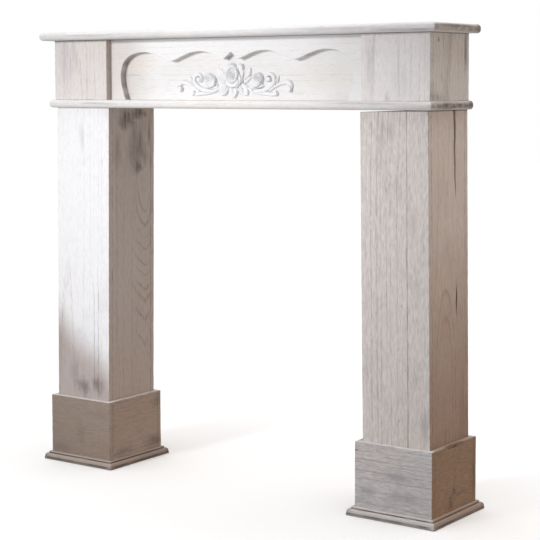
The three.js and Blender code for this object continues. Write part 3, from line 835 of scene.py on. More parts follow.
def crack_in_outer_board(points, eased, dark):
    """Opens a crack in the right leg's outer face. The lattice lines set aside for it move to the crack's
    middle line, spaced by its half width at each height, and the lines inside it sink into the wood. The
    rest of the face follows the crack's wander, less and less with the distance from it."""
    front = node_box("right_leg_front_board")[0][Y]
    head = node_box("left_leg_inner_board")[1][Z]
    outer = node_box("right_leg_outer_board")[1][X]
    z = eased[:, Z]
    away = points[:, Y] - front - CRACK_DEPTH
    slot = away / CRACK_LINE_PITCH
    line = np.full(len(points), np.nan)
    for k in CRACK_LINES:
        line[np.abs(slot - k) < 0.01] = k
    on_face = points[:, X] > outer - 0.5 * MM
    on_line = ~np.isnan(line) & on_face
    upper_start, lower_place, lower_reach = 0.65, 0.444, 0.024
    upper = np.clip((z - upper_start) / (head - upper_start), 0, 1)
    lower = np.exp(-((z - lower_place) / lower_reach) ** 2)
    half = 4.4 * MM * upper ** 0.4 + 3.4 * MM * lower + 0.03 * MM
    wander = 1.1 * MM * np.sin(z * 41) + 0.6 * MM * np.sin(z * 97 + 1) + 18 * MM * (0.8 - np.maximum(z, 0.4))
    moved = eased.copy()
    moved[on_face, Y] += (wander * np.exp(-(away / (25 * MM)) ** 2))[on_face]
    moved[on_line, Y] = front + CRACK_DEPTH + wander[on_line] + line[on_line] * half[on_line]
    inside = on_line & (np.abs(line) < 0.9)
    moved[inside, X] -= np.clip(half[inside] * 5 - 0.7 * MM, 0, 8 * MM)
    open_share = np.clip((half - 0.15 * MM) / (0.8 * MM), 0, 1)
    dark = np.where(inside, np.maximum(dark, open_share), dark)
    return moved, dark


def left_leg_finishes():
    """The finish of the left leg's front board, and that of its other boards."""
    colours = bpy.context.scene.mantel_colours
    wash = colours.leg_wash
    smoke = tuple(colours.smoke)
    grey = tuple(colours.grey)
    low, high = upright_box("left_leg_front_board", "left")
    inner_face, front = high[X], low[Y]
    # Painted shade: below a slanting line the leg's front is tinted darker, where the window light doesn't
    # reach.
    painted_foot_shade = ((0.7, 0, 1), 0.045, -0.075, (0.53, 0.455, 0.415), 0.92, 0.08)
    front_blots = [
        ((inner_face - 0.075, front, 0.76), (0.012, 0.03, 0.05), grey, 0.3, 1.2),
        ((inner_face - 0.032, front, 0.185), (0.028, 0.03, 0.032), smoke, 0.75, 1.4),
        ((inner_face - 0.078, front, 0.178), (0.028, 0.03, 0.03), smoke, 0.75, 1.5),
        ((inner_face - 0.105, front, 0.21), (0.02, 0.03, 0.05), smoke, 0.35, 1.3),
        ((inner_face - 0.15, front, 0.28), (0.035, 0.03, 0.12), smoke, 0.2, 1.2),
    ]
    front_wood = whitewashed_wood(
        "whitewashed_left_leg_front_wood", tinted(wash, (1.03, 1.04, 1.08)), 1.12, smudges=0.3,
        warmth=0.05, mottle=0.3, blots=front_blots, fades=(painted_foot_shade,),
        seams=((0.084, 1.4 * MM, 0.5, 0.16, 0.44), (0.097, 1.4 * MM, 0.55, 0.16, 0.44)))
    inner_blots = [
        ((inner_face, front + 0.06, 0.803), (0.04, 0.036, 0.034), smoke, 0.95, 1.0),
        ((inner_face, front + 0.105, 0.816), (0.04, 0.04, 0.02), smoke, 0.95, 1.0),
        ((inner_face, front + 0.1, 0.738), (0.04, 0.045, 0.075), (0.17, 0.155, 0.155), 0.75, 1.3),
        ((inner_face, front + 0.03, 0.73), (0.03, 0.02, 0.06), (0.2, 0.18, 0.17), 0.4, 1.2),
        ((inner_face, front + 0.105, 0.69), (0.03, 0.02, 0.018), smoke, 0.8, 1.0),
        ((inner_face, front + 0.142, 0.77), (0.03, 0.006, 0.05), smoke, 0.7, 1.0),
        ((inner_face, front + 0.148, 0.7), (0.03, 0.006, 0.03), smoke, 0.6, 1.0),
    ]
    # Painted shade: the inner side's fade tints it darker and warmer towards the bottom, over its real
    # smudges.
    inner_wood = whitewashed_wood(
        "rubbed_and_shaded_left_leg_inner_wood", tinted(wash, (0.8, 0.74, 0.71)), 1.04, ring_pitch=9 * MM,
        ring_depth=0.75, cone=(0.74, 0.24, 0.0, 0.105, 0.0, 0.024), blots=inner_blots,
        seams=((-0.095, 1.9 * MM, 0.3, 0.2, 0.8), (-0.072, 1.7 * MM, 0.25, 0.15, 0.7),
               (-0.042, 1.8 * MM, 0.3, 0.1, 0.6), (0.024, 1.5 * MM, 0.3, 0.2, 0.8)),
        fades=((UPWARDS, 0.5, 0.1, (0.85, 0.765, 0.71), 0.8, 0.2),))
    return front_wood, inner_wood


def right_leg_finishes():
    """The finish of the right leg's front board, which its back and inner boards share, and that of the
    outer board."""
    colours = bpy.context.scene.mantel_colours
    wash = colours.leg_wash
    smoke = tuple(colours.smoke)
    grey = tuple(colours.grey)
    inner_edge, front, _ = node_box("right_leg_front_board")[0]
    outer_face = node_box("right_leg_outer_board")[1][X]
    head = node_box("left_leg_inner_board")[1][Z]
    # Painted shadow of the ledge: a dark band on the top millimetres of the right leg's boards.
    painted_ledge_shadow = (UPWARDS, head - 3.2 * MM, head - 0.9 * MM, (0.2, 0.17, 0.15), 0.85, 1 * MM)
    front_blots = [
        ((inner_edge + 0.071, front, 0.785), (0.018, 0.02, 0.028), grey, 0.32, 1.4),
        ((inner_edge + 0.05, front, 0.765), (0.012, 0.02, 0.02), grey, 0.22, 1.4),
        ((inner_edge + 0.09, front, 0.667), (0.014, 0.02, 0.035), grey, 0.25, 1.4),
        ((inner_edge + 0.124, front, 0.6), (0.018, 0.02, 0.06), grey, 0.2, 1.4),
        ((inner_edge + 0.13, front, 0.47), (0.018, 0.02, 0.05), grey, 0.2, 1.4),
        ((outer_face - 0.012, front, 0.2), (0.014, 0.02, 0.05), grey, 0.55, 1.0),
        ((outer_face - 0.006, front, 0.822), (0.008, 0.02, 0.01), smoke, 0.7, 0.6),
        ((inner_edge + 0.098, front, 0.438), (0.0016, 0.01, 0.003), smoke, 0.8, 0.3),
        ((inner_edge + 0.094, front, 0.205), (0.0016, 0.01, 0.003), smoke, 0.8, 0.3),
    ]
    # Painted shade: the front's first fade tints it a little darker towards the bottom.
    front_wood = whitewashed_wood(
        "whitewashed_right_leg_front_wood", tinted(wash, (0.84, 0.79, 0.77)), 1.08, smudges=0.6,
        warmth=0.3, ring_depth=0.65, mottle=0.85, cone=(0.56, 0.88, 0.0, 0.045, 0.046, 1.0),
        blots=front_blots,
        fades=((UPWARDS, 0.78, 0.35, (0.92, 0.92, 0.925), 1.0, 0.1), painted_ledge_shadow),
        seams=((-0.0455, 1.3 * MM, 0.55, 0.1, 0.9), (-0.075, 1.2 * MM, 0.2, 0.58, 0.7)))
    # Painted shade: the outer side's first fade tints it darker and warmer towards the bottom.
    outer_wood = whitewashed_wood(
        "rubbed_and_shaded_right_leg_outer_wood", tinted(wash, (1.05, 0.95, 0.89)), 1.02, ring_pitch=10 * MM,
        ring_depth=0.42, smudges=0.25, cone=(0.24, 0.56, 0.003, 0.036, 0.0, 1.0),
        blots=(((outer_face, front + 0.135, 0.2), (0.03, 0.02, 0.12), smoke, 0.3, 1.2),),
        fades=((UPWARDS, 0.78, 0.14, (0.48, 0.365, 0.295), 1.0, 0.2), painted_ledge_shadow))
    return front_wood, outer_wood


class MANTEL_OT_legs(bpy.types.Operator):
    """Make the boards of both legs, with their lean and the crack in the right one."""

    bl_idname = "mantel.legs"
    bl_label = "Legs"

    def execute(self, context):
        left_front, left_inner = left_leg_finishes()
        right_wood, outer_wood = right_leg_finishes()
        finishes = {
            "left": {"front": left_front, "back": left_inner, "inner": left_inner, "outer": left_inner},
            "right": {"front": right_wood, "back": right_wood, "inner": right_wood, "outer": outer_wood},
        }
        side_finish = {"left": left_inner, "right": outer_wood}
        hearts = {
            "left": {
                "front": (0.05, 0.05), "back": (0.0, 0.05), "inner": (-0.043, 0.0), "outer": (0.03, 0.05)},
            "right": {
                "front": (-0.075, 0.004), "back": (0.02, 0.05), "inner": (0.01, 0.05), "outer": (0.019, 0.0)},
        }
        for number, side, place, node, axis in box_boards("leg"):
            extras = [(), (), ()]
            straight = upright_box(node, side)
            carve = None
            if node == "right_leg_outer_board":
                carve = crack_in_outer_board
                offset = node_box("right_leg_front_board")[0][Y] + CRACK_DEPTH - straight[0][Y]
                extras[Y] = tuple(offset + k * CRACK_LINE_PITCH for k in CRACK_LINES)
            add_board(node, Z, axis, finishes[side][place], hearts[side][place], 40 + number,
                      rub=0.4, bend=leg_bend(side), carve=carve, extras=extras, straight=straight,
                      end_material=side_finish[side] if axis == X else None)
        return {"FINISHED"}


# Plinths and base mouldings

def chip_plinth_top(points, eased, dark):
    """Takes a sliver off the top edge of the right plinth's outer board: the outer part of the top sinks by
    a curve along the board, deepest in the middle."""
    low, high = node_box("right_plinth_outer_board")
    along = (points[:, Y] - low[Y]) / (high[Y] - low[Y])
    middle, reach = 0.5, 0.17
    sliver = np.exp(-((along - middle) / reach) ** 2) * (0.8 + 0.2 * np.sin(along * 40))
    near_top = points[:, Z] > high[Z] - 2.5 * MM
    outside = points[:, X] > high[X] - 6 * MM
    sunk = near_top & outside
    moved = eased.copy()
    moved[sunk, Z] -= 5.5 * MM * sliver[sunk]
    moved[sunk, X] -= 1.2 * MM * sliver[sunk]
    return moved, np.where(sunk, np.clip(sliver, 0, 0.7), dark)


class MANTEL_OT_plinths(bpy.types.Operator):
    """Make the plinth boards round both feet."""

    bl_idname = "mantel.plinths"
    bl_label = "Plinths"

    def execute(self, context):
        colours = context.scene.mantel_colours
        smoke = tuple(colours.smoke)
        rubbed = tuple(colours.rubbed)
        left_low, left_high = node_box("left_plinth_front_board")
        low, high = node_box("right_plinth_outer_board")
        knot = (high[X], low[Y] + 0.078, 0.057)
        left_blots = [
            ((left_high[X] - 0.09, left_low[Y], 0.07), (0.02, 0.02, 0.04), smoke, 0.3, 1.2),
            ((left_low[X] + 0.03, left_low[Y], 0.03), (0.04, 0.02, 0.02), smoke, 0.3, 1.2),
            ((left_high[X] - 0.03, left_low[Y], 0.12), (0.05, 0.02, 0.015), smoke, 0.25, 1.2),
        ]
        left_side_blots = [
            ((left_high[X], left_low[Y] + 0.16, 0.035), (0.03, 0.05, 0.02), rubbed, 0.55, 1.2),
            ((left_high[X], left_low[Y] + 0.05, 0.03), (0.03, 0.05, 0.012), rubbed, 0.4, 1.2),
            ((left_high[X], left_low[Y] + 0.17, 0.13), (0.03, 0.03, 0.02), smoke, 0.4, 1.2),
        ]
        smudge = (0.28, 0.26, 0.27)
        right_blots = [
            ((high[X] - 0.08, left_low[Y], 0.09), (0.045, 0.02, 0.016), smudge, 0.65, 1.4),
            ((high[X] - 0.15, left_low[Y], 0.052), (0.025, 0.02, 0.016), smudge, 0.65, 1.4),
            ((high[X] - 0.06, left_low[Y], 0.05), (0.06, 0.02, 0.018), smudge, 0.6, 1.4),
            ((high[X] - 0.177, left_low[Y], 0.135), (0.006, 0.01, 0.0022), rubbed, 0.9, 0.4),
        ]
        right_side_blots = [
            (knot, (0.01, 0.011, 0.011), rubbed, 1.0, 0.9),
            ((knot[0], knot[1] - 0.013, 0.034), (0.01, 0.014, 0.02), rubbed, 0.75, 1.0),
            ((knot[0], knot[1] + 0.02, 0.048), (0.01, 0.06, 0.007), rubbed, 0.4, 1.0),
            ((high[X], high[Y], 0.08), (0.01, 0.012, 0.07), rubbed, 0.5, 1.0),
        ]
        pale_top = (UPWARDS, high[Z] - 1.6 * MM, high[Z] - 0.3 * MM, (0.72, 0.68, 0.66), 0.85, 0.6 * MM)
        dim_top = (UPWARDS, high[Z] - 1.2 * MM, high[Z] - 0.2 * MM, (0.5, 0.42, 0.36), 0.8, 0.6 * MM)
        # The left front's dark wash is partly painted shade, as the lower left lies out of the window light,
        # and partly the wood's own wear and smudges.
        left_front = whitewashed_wood(
            "rubbed_and_shaded_left_plinth_front_wood", (0.31, 0.245, 0.205), 0.98, ring_pitch=10 * MM, ring_depth=0.4,
            mottle=0.6, blots=left_blots, covers=(pale_top,))
        left_side = whitewashed_wood(
            "rubbed_left_plinth_side_wood", (0.5, 0.4, 0.345), 0.96, ring_pitch=10 * MM, ring_depth=0.45,
            mottle=0.6, blots=left_side_blots, covers=(pale_top,))
        right_front = whitewashed_wood(
            "rubbed_right_plinth_front_wood", (0.56, 0.53, 0.53), 1.02, ring_pitch=8 * MM, ring_depth=0.7,
            smudges=0.7, mottle=1.0, blots=right_blots, covers=(pale_top,))
        right_side = whitewashed_wood(
            "rubbed_right_plinth_side_wood", (0.345, 0.21, 0.125), 0.95, ring_pitch=10 * MM, ring_depth=0.9,
            smudges=0.8, mottle=1.3, blots=right_side_blots, covers=(dim_top,))
        finishes = {
            "left": {"front": left_front, "back": left_front, "inner": left_side, "outer": left_side},
            "right": {"front": right_front, "back": right_front, "inner": right_side, "outer": right_side},
        }
        hearts = {"front": (0.03, 0.04), "back": (0.0, 0.05), "inner": (0.01, 0.04), "outer": (0.02, 0.03)}
        fine_lines = ((), tuple(np.arange(30, 130, 5) * MM), (high[Z] - low[Z] - 7 * MM,))
        for number, side, place, node, axis in box_boards("plinth"):
            chipped = node == "right_plinth_outer_board"
            add_board(node, axis, Z, finishes[side][place], hearts[place], 60 + number,
                      rub=0.45, carve=chip_plinth_top if chipped else None,
                      extras=fine_lines if chipped else ((), (), ()),
                      end_material=finishes[side]["inner"] if axis == X else None)
        return {"FINISHED"}


def moulding_profile():
    """The base moulding's section, outwards and up from the plinth's foot, anticlockwise: an eased toe, a
    fillet, a full round, a quirk and a bead. Also how dark each point is."""
    reach, height = 14 * MM, 18 * MM
    fillet, step, toe = 3.6 * MM, 0.8 * MM, 1.4 * MM
    crown_reach, crown_height = 6.2 * MM, 13.2 * MM
    quarter = np.linspace(0, np.pi / 2, 13)
    toe_round = np.stack([
        reach - toe + toe * np.sin(quarter[::4]), toe - toe * np.cos(quarter[::4])], axis=1)
    start = fillet + 0.4 * MM
    full_round = np.stack([
        crown_reach + (reach - step - crown_reach) * np.cos(quarter) ** 0.62,
        start + (crown_height - start) * np.sin(quarter) ** 0.8], axis=1)
    quirk = np.array([[4.7 * MM, crown_height - 0.1 * MM], [4.3 * MM, crown_height + 0.9 * MM]])
    bead = np.array([
        [5.7 * MM, crown_height + 1.5 * MM], [6.0 * MM, crown_height + 2.6 * MM],
        [5.5 * MM, height - 1.1 * MM], [4.5 * MM, height - 0.35 * MM], [3.0 * MM, height], [0, height]])
    fillet_edge = [[reach, fillet], [reach - step, fillet + 0.05 * MM]]
    points = np.concatenate([[[0, 0]], toe_round, fillet_edge, full_round, quirk, bead])
    step_number = np.arange(len(full_round))
    over = np.where(step_number > 10, 0.4, np.where(step_number < 2, 0.8, 0.04))
    rubbed = np.concatenate([
        [0.0], np.full(len(toe_round), 0.45), [0.8, 1.0], over, [1.0, 1.0], [0.5, 0.1],
        np.full(len(bead) - 2, 0.04)])
    return points, rubbed


def corner_inset(distance, radius):
    """How far a corner rounded by the radius draws in at a distance from where the mitre cuts it. On the
    mitre the inset is r(1 - sqrt(1/2)), and along the side it is r - sqrt(r^2 - (r - s)^2)."""
    s = np.clip(distance + radius * (1 - math.sqrt(0.5)), 0, radius)
    return radius - np.sqrt(radius ** 2 - (radius - s) ** 2)


def moulding_run(profile, rubbed, along, outwards, wall, ends, pale_end, seed):
    """One length of the moulding, carried along an axis between two ends and mitred at both. Its face is
    bitten here and there, and the dark lines in its grooves are lost in places. They also fade towards the
    pale end, which is 0 for the first, 1 for the last and -1 for none, and every other mitre is dark.
    Returns the points, the faces and how dark each point is."""
    start, end = ends
    length = end - start
    spacing = 6 * MM
    close = np.array([0.0, 0.6, 1.3, 2.1, 3.0, 4.2]) * MM / length
    even = np.linspace(spacing / length, 1 - spacing / length, math.ceil(length / spacing))
    across = Y if along == X else X
    share = profile[:, 0] / profile[:, 0].max()
    rings = []
    darks = []
    for t in np.concatenate([close, even, 1 - close[::-1]]):
        beside = min(t, 1 - t) * length
        out = profile[:, 0] - corner_inset(beside, 3 * MM) * share
        ring = np.zeros((len(profile), 3))
        ring[:, along] = (start - out) * (1 - t) + (end + out) * t
        ring[:, Z] = profile[:, 1]
        ring[:, across] = wall + outwards * out
        wear = waves(ring, 22 * MM, seed) + 0.6 * waves(ring, 7 * MM, seed + 5)
        bitten = np.clip(wear, 0, 2) * 0.3 * MM * np.clip(out / (10 * MM), 0, 1)
        ring[:, across] -= outwards * bitten * min(1.0, beside / (4 * MM))
        lost = np.clip(0.7 + 0.9 * waves(ring * (1, 1, 0), 50 * MM, seed + 1), 0.1, 1)
        lost = np.where(profile[:, 1] < 6 * MM, np.maximum(lost, 0.7), lost)
        pale = pale_end >= 0 and (t > 0.5) == (pale_end == 1)
        near_mitre = np.clip(beside / (16 * MM), 0, 1) if pale else 1.0
        tip = 0.0 if pale else 0.6 * math.exp(-(beside / (7 * MM)) ** 2)
        shade = rubbed * np.where(rubbed > 0.5, lost * near_mitre, 1.0)
        rings.append(ring)
        darks.append(np.maximum(shade, tip * share))
    points, faces = carry_profile(rings)
    if (along == X) == (outwards < 0):
        faces = [face[::-1] for face in faces]
    return points, faces, np.concatenate(darks) * 0.8


class MANTEL_OT_base_mouldings(bpy.types.Operator):
    """Make the mitred mouldings round both plinths."""

    bl_idname = "mantel.base_mouldings"
    bl_label = "Base mouldings"

    def execute(self, context):
        # The left front moulding's darker wash is partly painted shade, as the lower left lies out of the
        # window light, and partly worn wood.
        washes = {
            "left": ((0.44, 0.37, 0.33), (0.42, 0.34, 0.29)),
            "right": ((0.62, 0.585, 0.565), (0.42, 0.32, 0.26)),
        }
        pale_ends = {"front": 1, "back": -1, "inner": 0, "outer": 0}
        profile, rubbed = moulding_profile()
        for side_index, side in enumerate(SIDES):
            lows, highs = zip(*(node_box(f"{side}_plinth_{place}_board") for place in BOX_PLACES))
            plinth_low, plinth_high = np.min(lows, axis=0), np.max(highs, axis=0)
            front_wood, side_wood = (
                whitewashed_wood(f"rubbed_{side}_moulding_{part}_wood", wash, 1.0, ring_pitch=6 * MM)
                for part, wash in zip(("front", "side"), washes[side]))
            leftmost, rightmost = ("outer", "inner") if side == "left" else ("inner", "outer")
            runs = (
                ("front", X, -1, plinth_low[Y]), ("back", X, 1, plinth_high[Y]),
                (leftmost, Y, -1, plinth_low[X]), (rightmost, Y, 1, plinth_high[X]),
            )
            for run_index, (place, along, outwards, wall) in enumerate(runs):
                seed = 80 + side_index * len(runs) + run_index
                ends = (plinth_low[along], plinth_high[along])
                points, faces, dark = moulding_run(
                    profile, rubbed, along, outwards, wall, ends, pale_ends[place], seed)
                low, high = points.min(axis=0), points.max(axis=0)
                node = f"{side}_base_moulding_{place}"
                finish = front_wood if along == X else side_wood
                add_piece(f"worn_{node}", points, faces, [node], finish, {
                    "grain": grain_vector(points, low, high, along, Z, (0.02, 0.03), seed),
                    "edge": np.full(len(points), 9 * MM), "rub": np.zeros(len(points)), "dark": dark})
        return {"FINISHED"}


# Cast ornament, drawn in millimetres from the middle of the rose: x outwards, z up, h out from the panel

class Relief:
    """A height field on a grid. inside is the distance to the outline in millimetres, above 0 within it,
    and height is how far the surface stands out."""

    def __init__(self, x, z):
        self.x = x
        self.z = z
        self.inside = np.full(x.shape, -9.0)
        self.height = np.zeros(x.shape)
        self.crease = np.zeros(x.shape)

    def lay(self, inside, height, shoulder=0.9):
        """Lays a form on what is there: within the form its own height shows, over a narrow shoulder. Where
        it lies on another form, a groove runs round it."""
        thinnest = 0.4
        share = np.clip(inside / shoulder, 0, 1)
        share = share * share * (3 - 2 * share)
        groove = np.exp(-((inside + 0.35) / 0.8) ** 2) * (self.inside > 0.6)
        laid = self.height * (1 - share) + np.maximum(height, thinnest) * share
        self.height = np.maximum(laid - 1.3 * groove, thinnest)
        # The crease keeps the groove round each form, which the paint darkens as painted shade and grime.
        self.crease = np.maximum(self.crease * (1 - share), groove)
        self.inside = np.maximum(self.inside, inside)

    def strand(self, stations, channel=0.22):
        """A stem along a smooth path through (x, z, half width, height). At each point the sample that
        reaches it best gives q, the distance over the half width, and the section is height sqrt(1 - q^2),
        with a channel."""
        best = np.full(self.x.shape, -99.0)
        ratio = np.ones(self.x.shape)
        tall = np.zeros(self.x.shape)
        for px, pz, width, height in smooth_path(stations, 10):
            distance = np.hypot(self.x - px, self.z - pz)
            reach = width - distance
            nearer = reach > best
            best = np.where(nearer, reach, best)
            ratio = np.where(nearer, distance / width, ratio)
            tall = np.where(nearer, height, tall)
        bow = np.sqrt(np.clip(1 - ratio ** 2, 0, 1))
        self.lay(best, tall * bow * (1 - channel * np.exp(-(ratio / 0.34) ** 2)))

    def axes(self, x0, z0, x1, z1):
        """Each point's place along the line from (x0, z0) to (x1, z1), as a share, and to its left, in
        mm."""
        length = math.hypot(x1 - x0, z1 - z0)
        cosine, sine = (x1 - x0) / length, (z1 - z0) / length
        dx, dz = self.x - x0, self.z - z0
        return (dx * cosine + dz * sine) / length, -dx * sine + dz * cosine, length

    def leaf(self, x0, z0, x1, z1, width, height, folds=1, tip=0.75, cup=0.25):
        """A leaf from its root to its tip. Its half width is that of a bow, w sin(pi t^tip), its edges
        stand up, and it has a sunk vein and folds beside it."""
        t, v, length = self.axes(x0, z0, x1, z1)
        along = np.clip(t, 0, 1)
        half = width / 2 * np.clip(np.sin(np.pi * (0.12 + 0.88 * along) ** tip), 0, 1) ** 0.75
        inside = np.minimum(half - np.abs(v), np.minimum(t, 1 - t) * length + half * 0.4)
        q = np.clip(np.abs(v) / np.maximum(half, 0.2), 0, 1)
        rise = 0.72 + 0.28 * np.sin(np.pi * along ** 0.8)
        shape = height * rise * (1 - cup * (1 - q ** 2)) * (1 - 0.35 * q ** 6)
        vein = 0.26 * height * np.exp(-(v / 0.85) ** 2) * np.clip(1.15 - along, 0, 1)
        side_veins = 0.07 * height * np.cos(q * np.pi * 2 * folds + along * 2)
        self.lay(inside, shape - vein - side_veins)

    def petal(self, x, z, wide, tall, turn, low, high, rim=0.16, wave=0.0, lobes=5):
        """A cupped petal: an ellipse turned by an angle, whose surface rises from low to high with the
        square of the distance from its middle and rolls over at the rim."""
        cosine, sine = math.cos(turn), math.sin(turn)
        u = ((self.x - x) * cosine + (self.z - z) * sine) / wide
        w = (-(self.x - x) * sine + (self.z - z) * cosine) / tall
        angle = np.arctan2(w, u)
        reach = np.hypot(u, w) / (1 + wave * np.sin(lobes * angle))
        inside = (1 - reach) * min(wide, tall)
        q = np.clip(reach, 0, 1)
        roll = np.clip((q - (1 - rim)) / rim, 0, 1)
        self.lay(inside, low + (high - low) * q ** 2 - (high - low) * 0.55 * roll ** 2)

    def spiral(self, x, z, wide, tall, turns, start, half_width, height, inward=0.12):
        """A rolled rim that winds inwards."""
        t = np.linspace(0, 1, math.ceil(turns * 9) + 1)
        angle = start + turns * 2 * np.pi * t
        shrink = 1 - (1 - inward) * t
        stations = np.stack([
            x + wide * shrink * np.cos(angle), z + tall * shrink * np.sin(angle),
            np.full(len(t), half_width) * (1 - 0.25 * t), height + t * 1.2], axis=1)
        self.strand(stations, channel=0.0)


def smooth_path(stations, steps):
    """Points on the smooth curve through the stations, by the Catmull-Rom rule: each stretch is the cubic
    whose slopes at its ends are half the way between the stations on either side."""
    p = np.array(stations, float)
    padded = np.concatenate([2 * p[:1] - p[1:2], p, 2 * p[-1:] - p[-2:-1]])
    t = np.linspace(0, 1, steps, endpoint=False)[None, :, None]
    a, b, c, d = (padded[i:len(padded) - 3 + i][:, None, :] for i in range(4))
    squared = (2 * a - 5 * b + 4 * c - d) * t ** 2
    cubed = (3 * b - a - 3 * c + d) * t ** 3
    curve = 0.5 * (2 * b + (c - a) * t + squared + cubed)
    return np.concatenate([curve.reshape(-1, p.shape[1]), p[-1:]])


def draw_spray(relief):
    """The spray beside the rose, drawn for the right side and mirrored by the sign of x on the grid."""
    relief.strand([
        (96, -20, 3.5, 5), (112, -11, 4.2, 5.5), (130, -4, 5, 6), (144, -3, 6, 7), (151, -10, 6.5, 7.5),
        (149, -18, 6, 7)])
    relief.petal(148, -17.5, 6.6, 6.8, 0.2, 8.6, 7.2, rim=0.5)
    relief.leaf(112, -7, 121, 12, 8, 5.5)
    relief.strand([
        (36, -12, 4, 6), (50, -20, 5.5, 7), (70, -25, 5.5, 7), (90, -27.5, 5, 6.5), (104, -29, 4.8, 6),
        (112, -28, 4.6, 6)])
    relief.petal(112.5, -26.8, 5.8, 6, 0.4, 7.8, 6.4, rim=0.5)
    coils = 6
    volute = [(56, -21, 4, 5.5), (78, -20, 5, 6.5), (95, -14, 5.6, 7)]
    for i in range(coils + 1):
        angle = math.radians(-35 + i * 42)
        radius = 13.5 - i * 1.1
        volute.append((96 + radius * math.cos(angle), 4 + radius * math.sin(angle), 5.4 - i * 0.35, 7.5))
    relief.strand(volute)
    relief.petal(95, 3.6, 5.6, 5.8, 0, 8.2, 7.0, rim=0.5)


def draw_buds(relief):
    """The leaves beside the rose and the bud that looks up and outwards, with its bowl below."""
    relief.leaf(45, -9, 83, -10.5, 16, 7.6, folds=1.5)
    relief.leaf(26, -3, 50, 11, 12, 6, folds=1)
    relief.leaf(21, 1, 46, 28, 20, 7.2, folds=2.2, tip=1.5)
    relief.petal(63, 1.0, 16.5, 14.2, 0.35, 9.8, 7.2, rim=0.35)
    relief.petal(62, -1.5, 14.5, 11.5, 0.5, 10.2, 8.0, rim=0.4)
    relief.petal(67, 5.5, 12.2, 12.6, -0.5, 7.8, 10.4, rim=0.16)
    relief.spiral(68.5, 6.0, 9.2, 9.8, 1.9, -0.6, 1.9, 9.4)


def draw_rose(relief):
    """The rose: a wavy outer petal on the right, tongues below, rows of cupped petals, and a wound
    heart."""
    for side in (-1, 1):
        relief.leaf(side * 15, -6, side * 38, -31, 26, 8, folds=2.4, tip=1.25, cup=0.35)
        relief.leaf(side * 13, -9, side * 27, -31, 13, 8.6, folds=1)
    relief.leaf(0, -9, 0, -38, 25, 8, folds=3, tip=0.9)
    relief.petal(17, 14, 12.5, 24.5, -0.12, 5.4, 8.6, rim=0.14, wave=0.05, lobes=7)
    relief.petal(-6, 20, 19, 20.5, 0.5, 6.4, 9.4, rim=0.13, wave=0.03, lobes=4)
    relief.petal(5, 3, 19, 18, -0.3, 7.0, 10.2, rim=0.14, wave=0.03, lobes=5)
    relief.petal(-9, 5, 14, 17, 0.3, 7.8, 10.8, rim=0.14, wave=0.03, lobes=4)
    relief.petal(0, -3.5, 18, 10.5, 0.0, 8.8, 11.2, rim=0.2, wave=0.04, lobes=3)
    relief.petal(0, 15, 16.5, 20.5, 0.1, 8.6, 12.2, rim=0.13)
    relief.petal(2.0, 13, 13.6, 16.5, -0.4, 9.0, 12.6, rim=0.15, wave=0.03, lobes=4)
    relief.spiral(0.5, 13.5, 10.6, 12.4, 2.2, 0.9, 2.1, 11.4)


class MANTEL_OT_ornament(bpy.types.Operator):
    """Cast the rose spray as a fine relief with a flat back."""

    bl_idname = "mantel.ornament"
    bl_label = "Cast ornament"

    def execute(self, context):
        low, high = node_box("rose_ornament")
        foot, head = -37.0, 41.0
        scale = (high[Z] - low[Z]) / ((head - foot) * MM)
        middle_x = (low[X] + high[X]) / 2
        middle_z = low[Z] - foot * MM * scale
        panel = node_box("frieze_back_panel")[0][Y]
        pitch = context.scene.mantel_sizes.relief_pitch / MM
        half = (high[X] - low[X]) / 2 / MM / scale + 2
        x, z = np.meshgrid(np.arange(-half, half, pitch), np.arange(foot - 3, head + 3, pitch), indexing="ij")
        relief = Relief(np.abs(x), z)
        draw_spray(relief)
        draw_buds(relief)
        relief.x = x
        draw_rose(relief)
        relief.height = soften(relief.height)
        surface, faces, hollow = close_relief(relief)
        x, z, h = surface.T * MM
        points = np.stack([middle_x + x * scale, panel - h, middle_z + z * scale], axis=1)
        add_piece("cast_rose_ornament", points, faces, ["rose_ornament"], cast_paint(), {
            "hollow": hollow})
        return {"FINISHED"}


def soften(field):
    """Each value becomes the mean of itself, twice over, and its four neighbours."""
    padded = np.pad(field, 1, mode="edge")
    around = padded[:-2, 1:-1] + padded[2:, 1:-1] + padded[1:-1, :-2] + padded[1:-1, 2:]
    return (2 * field + around) / 6


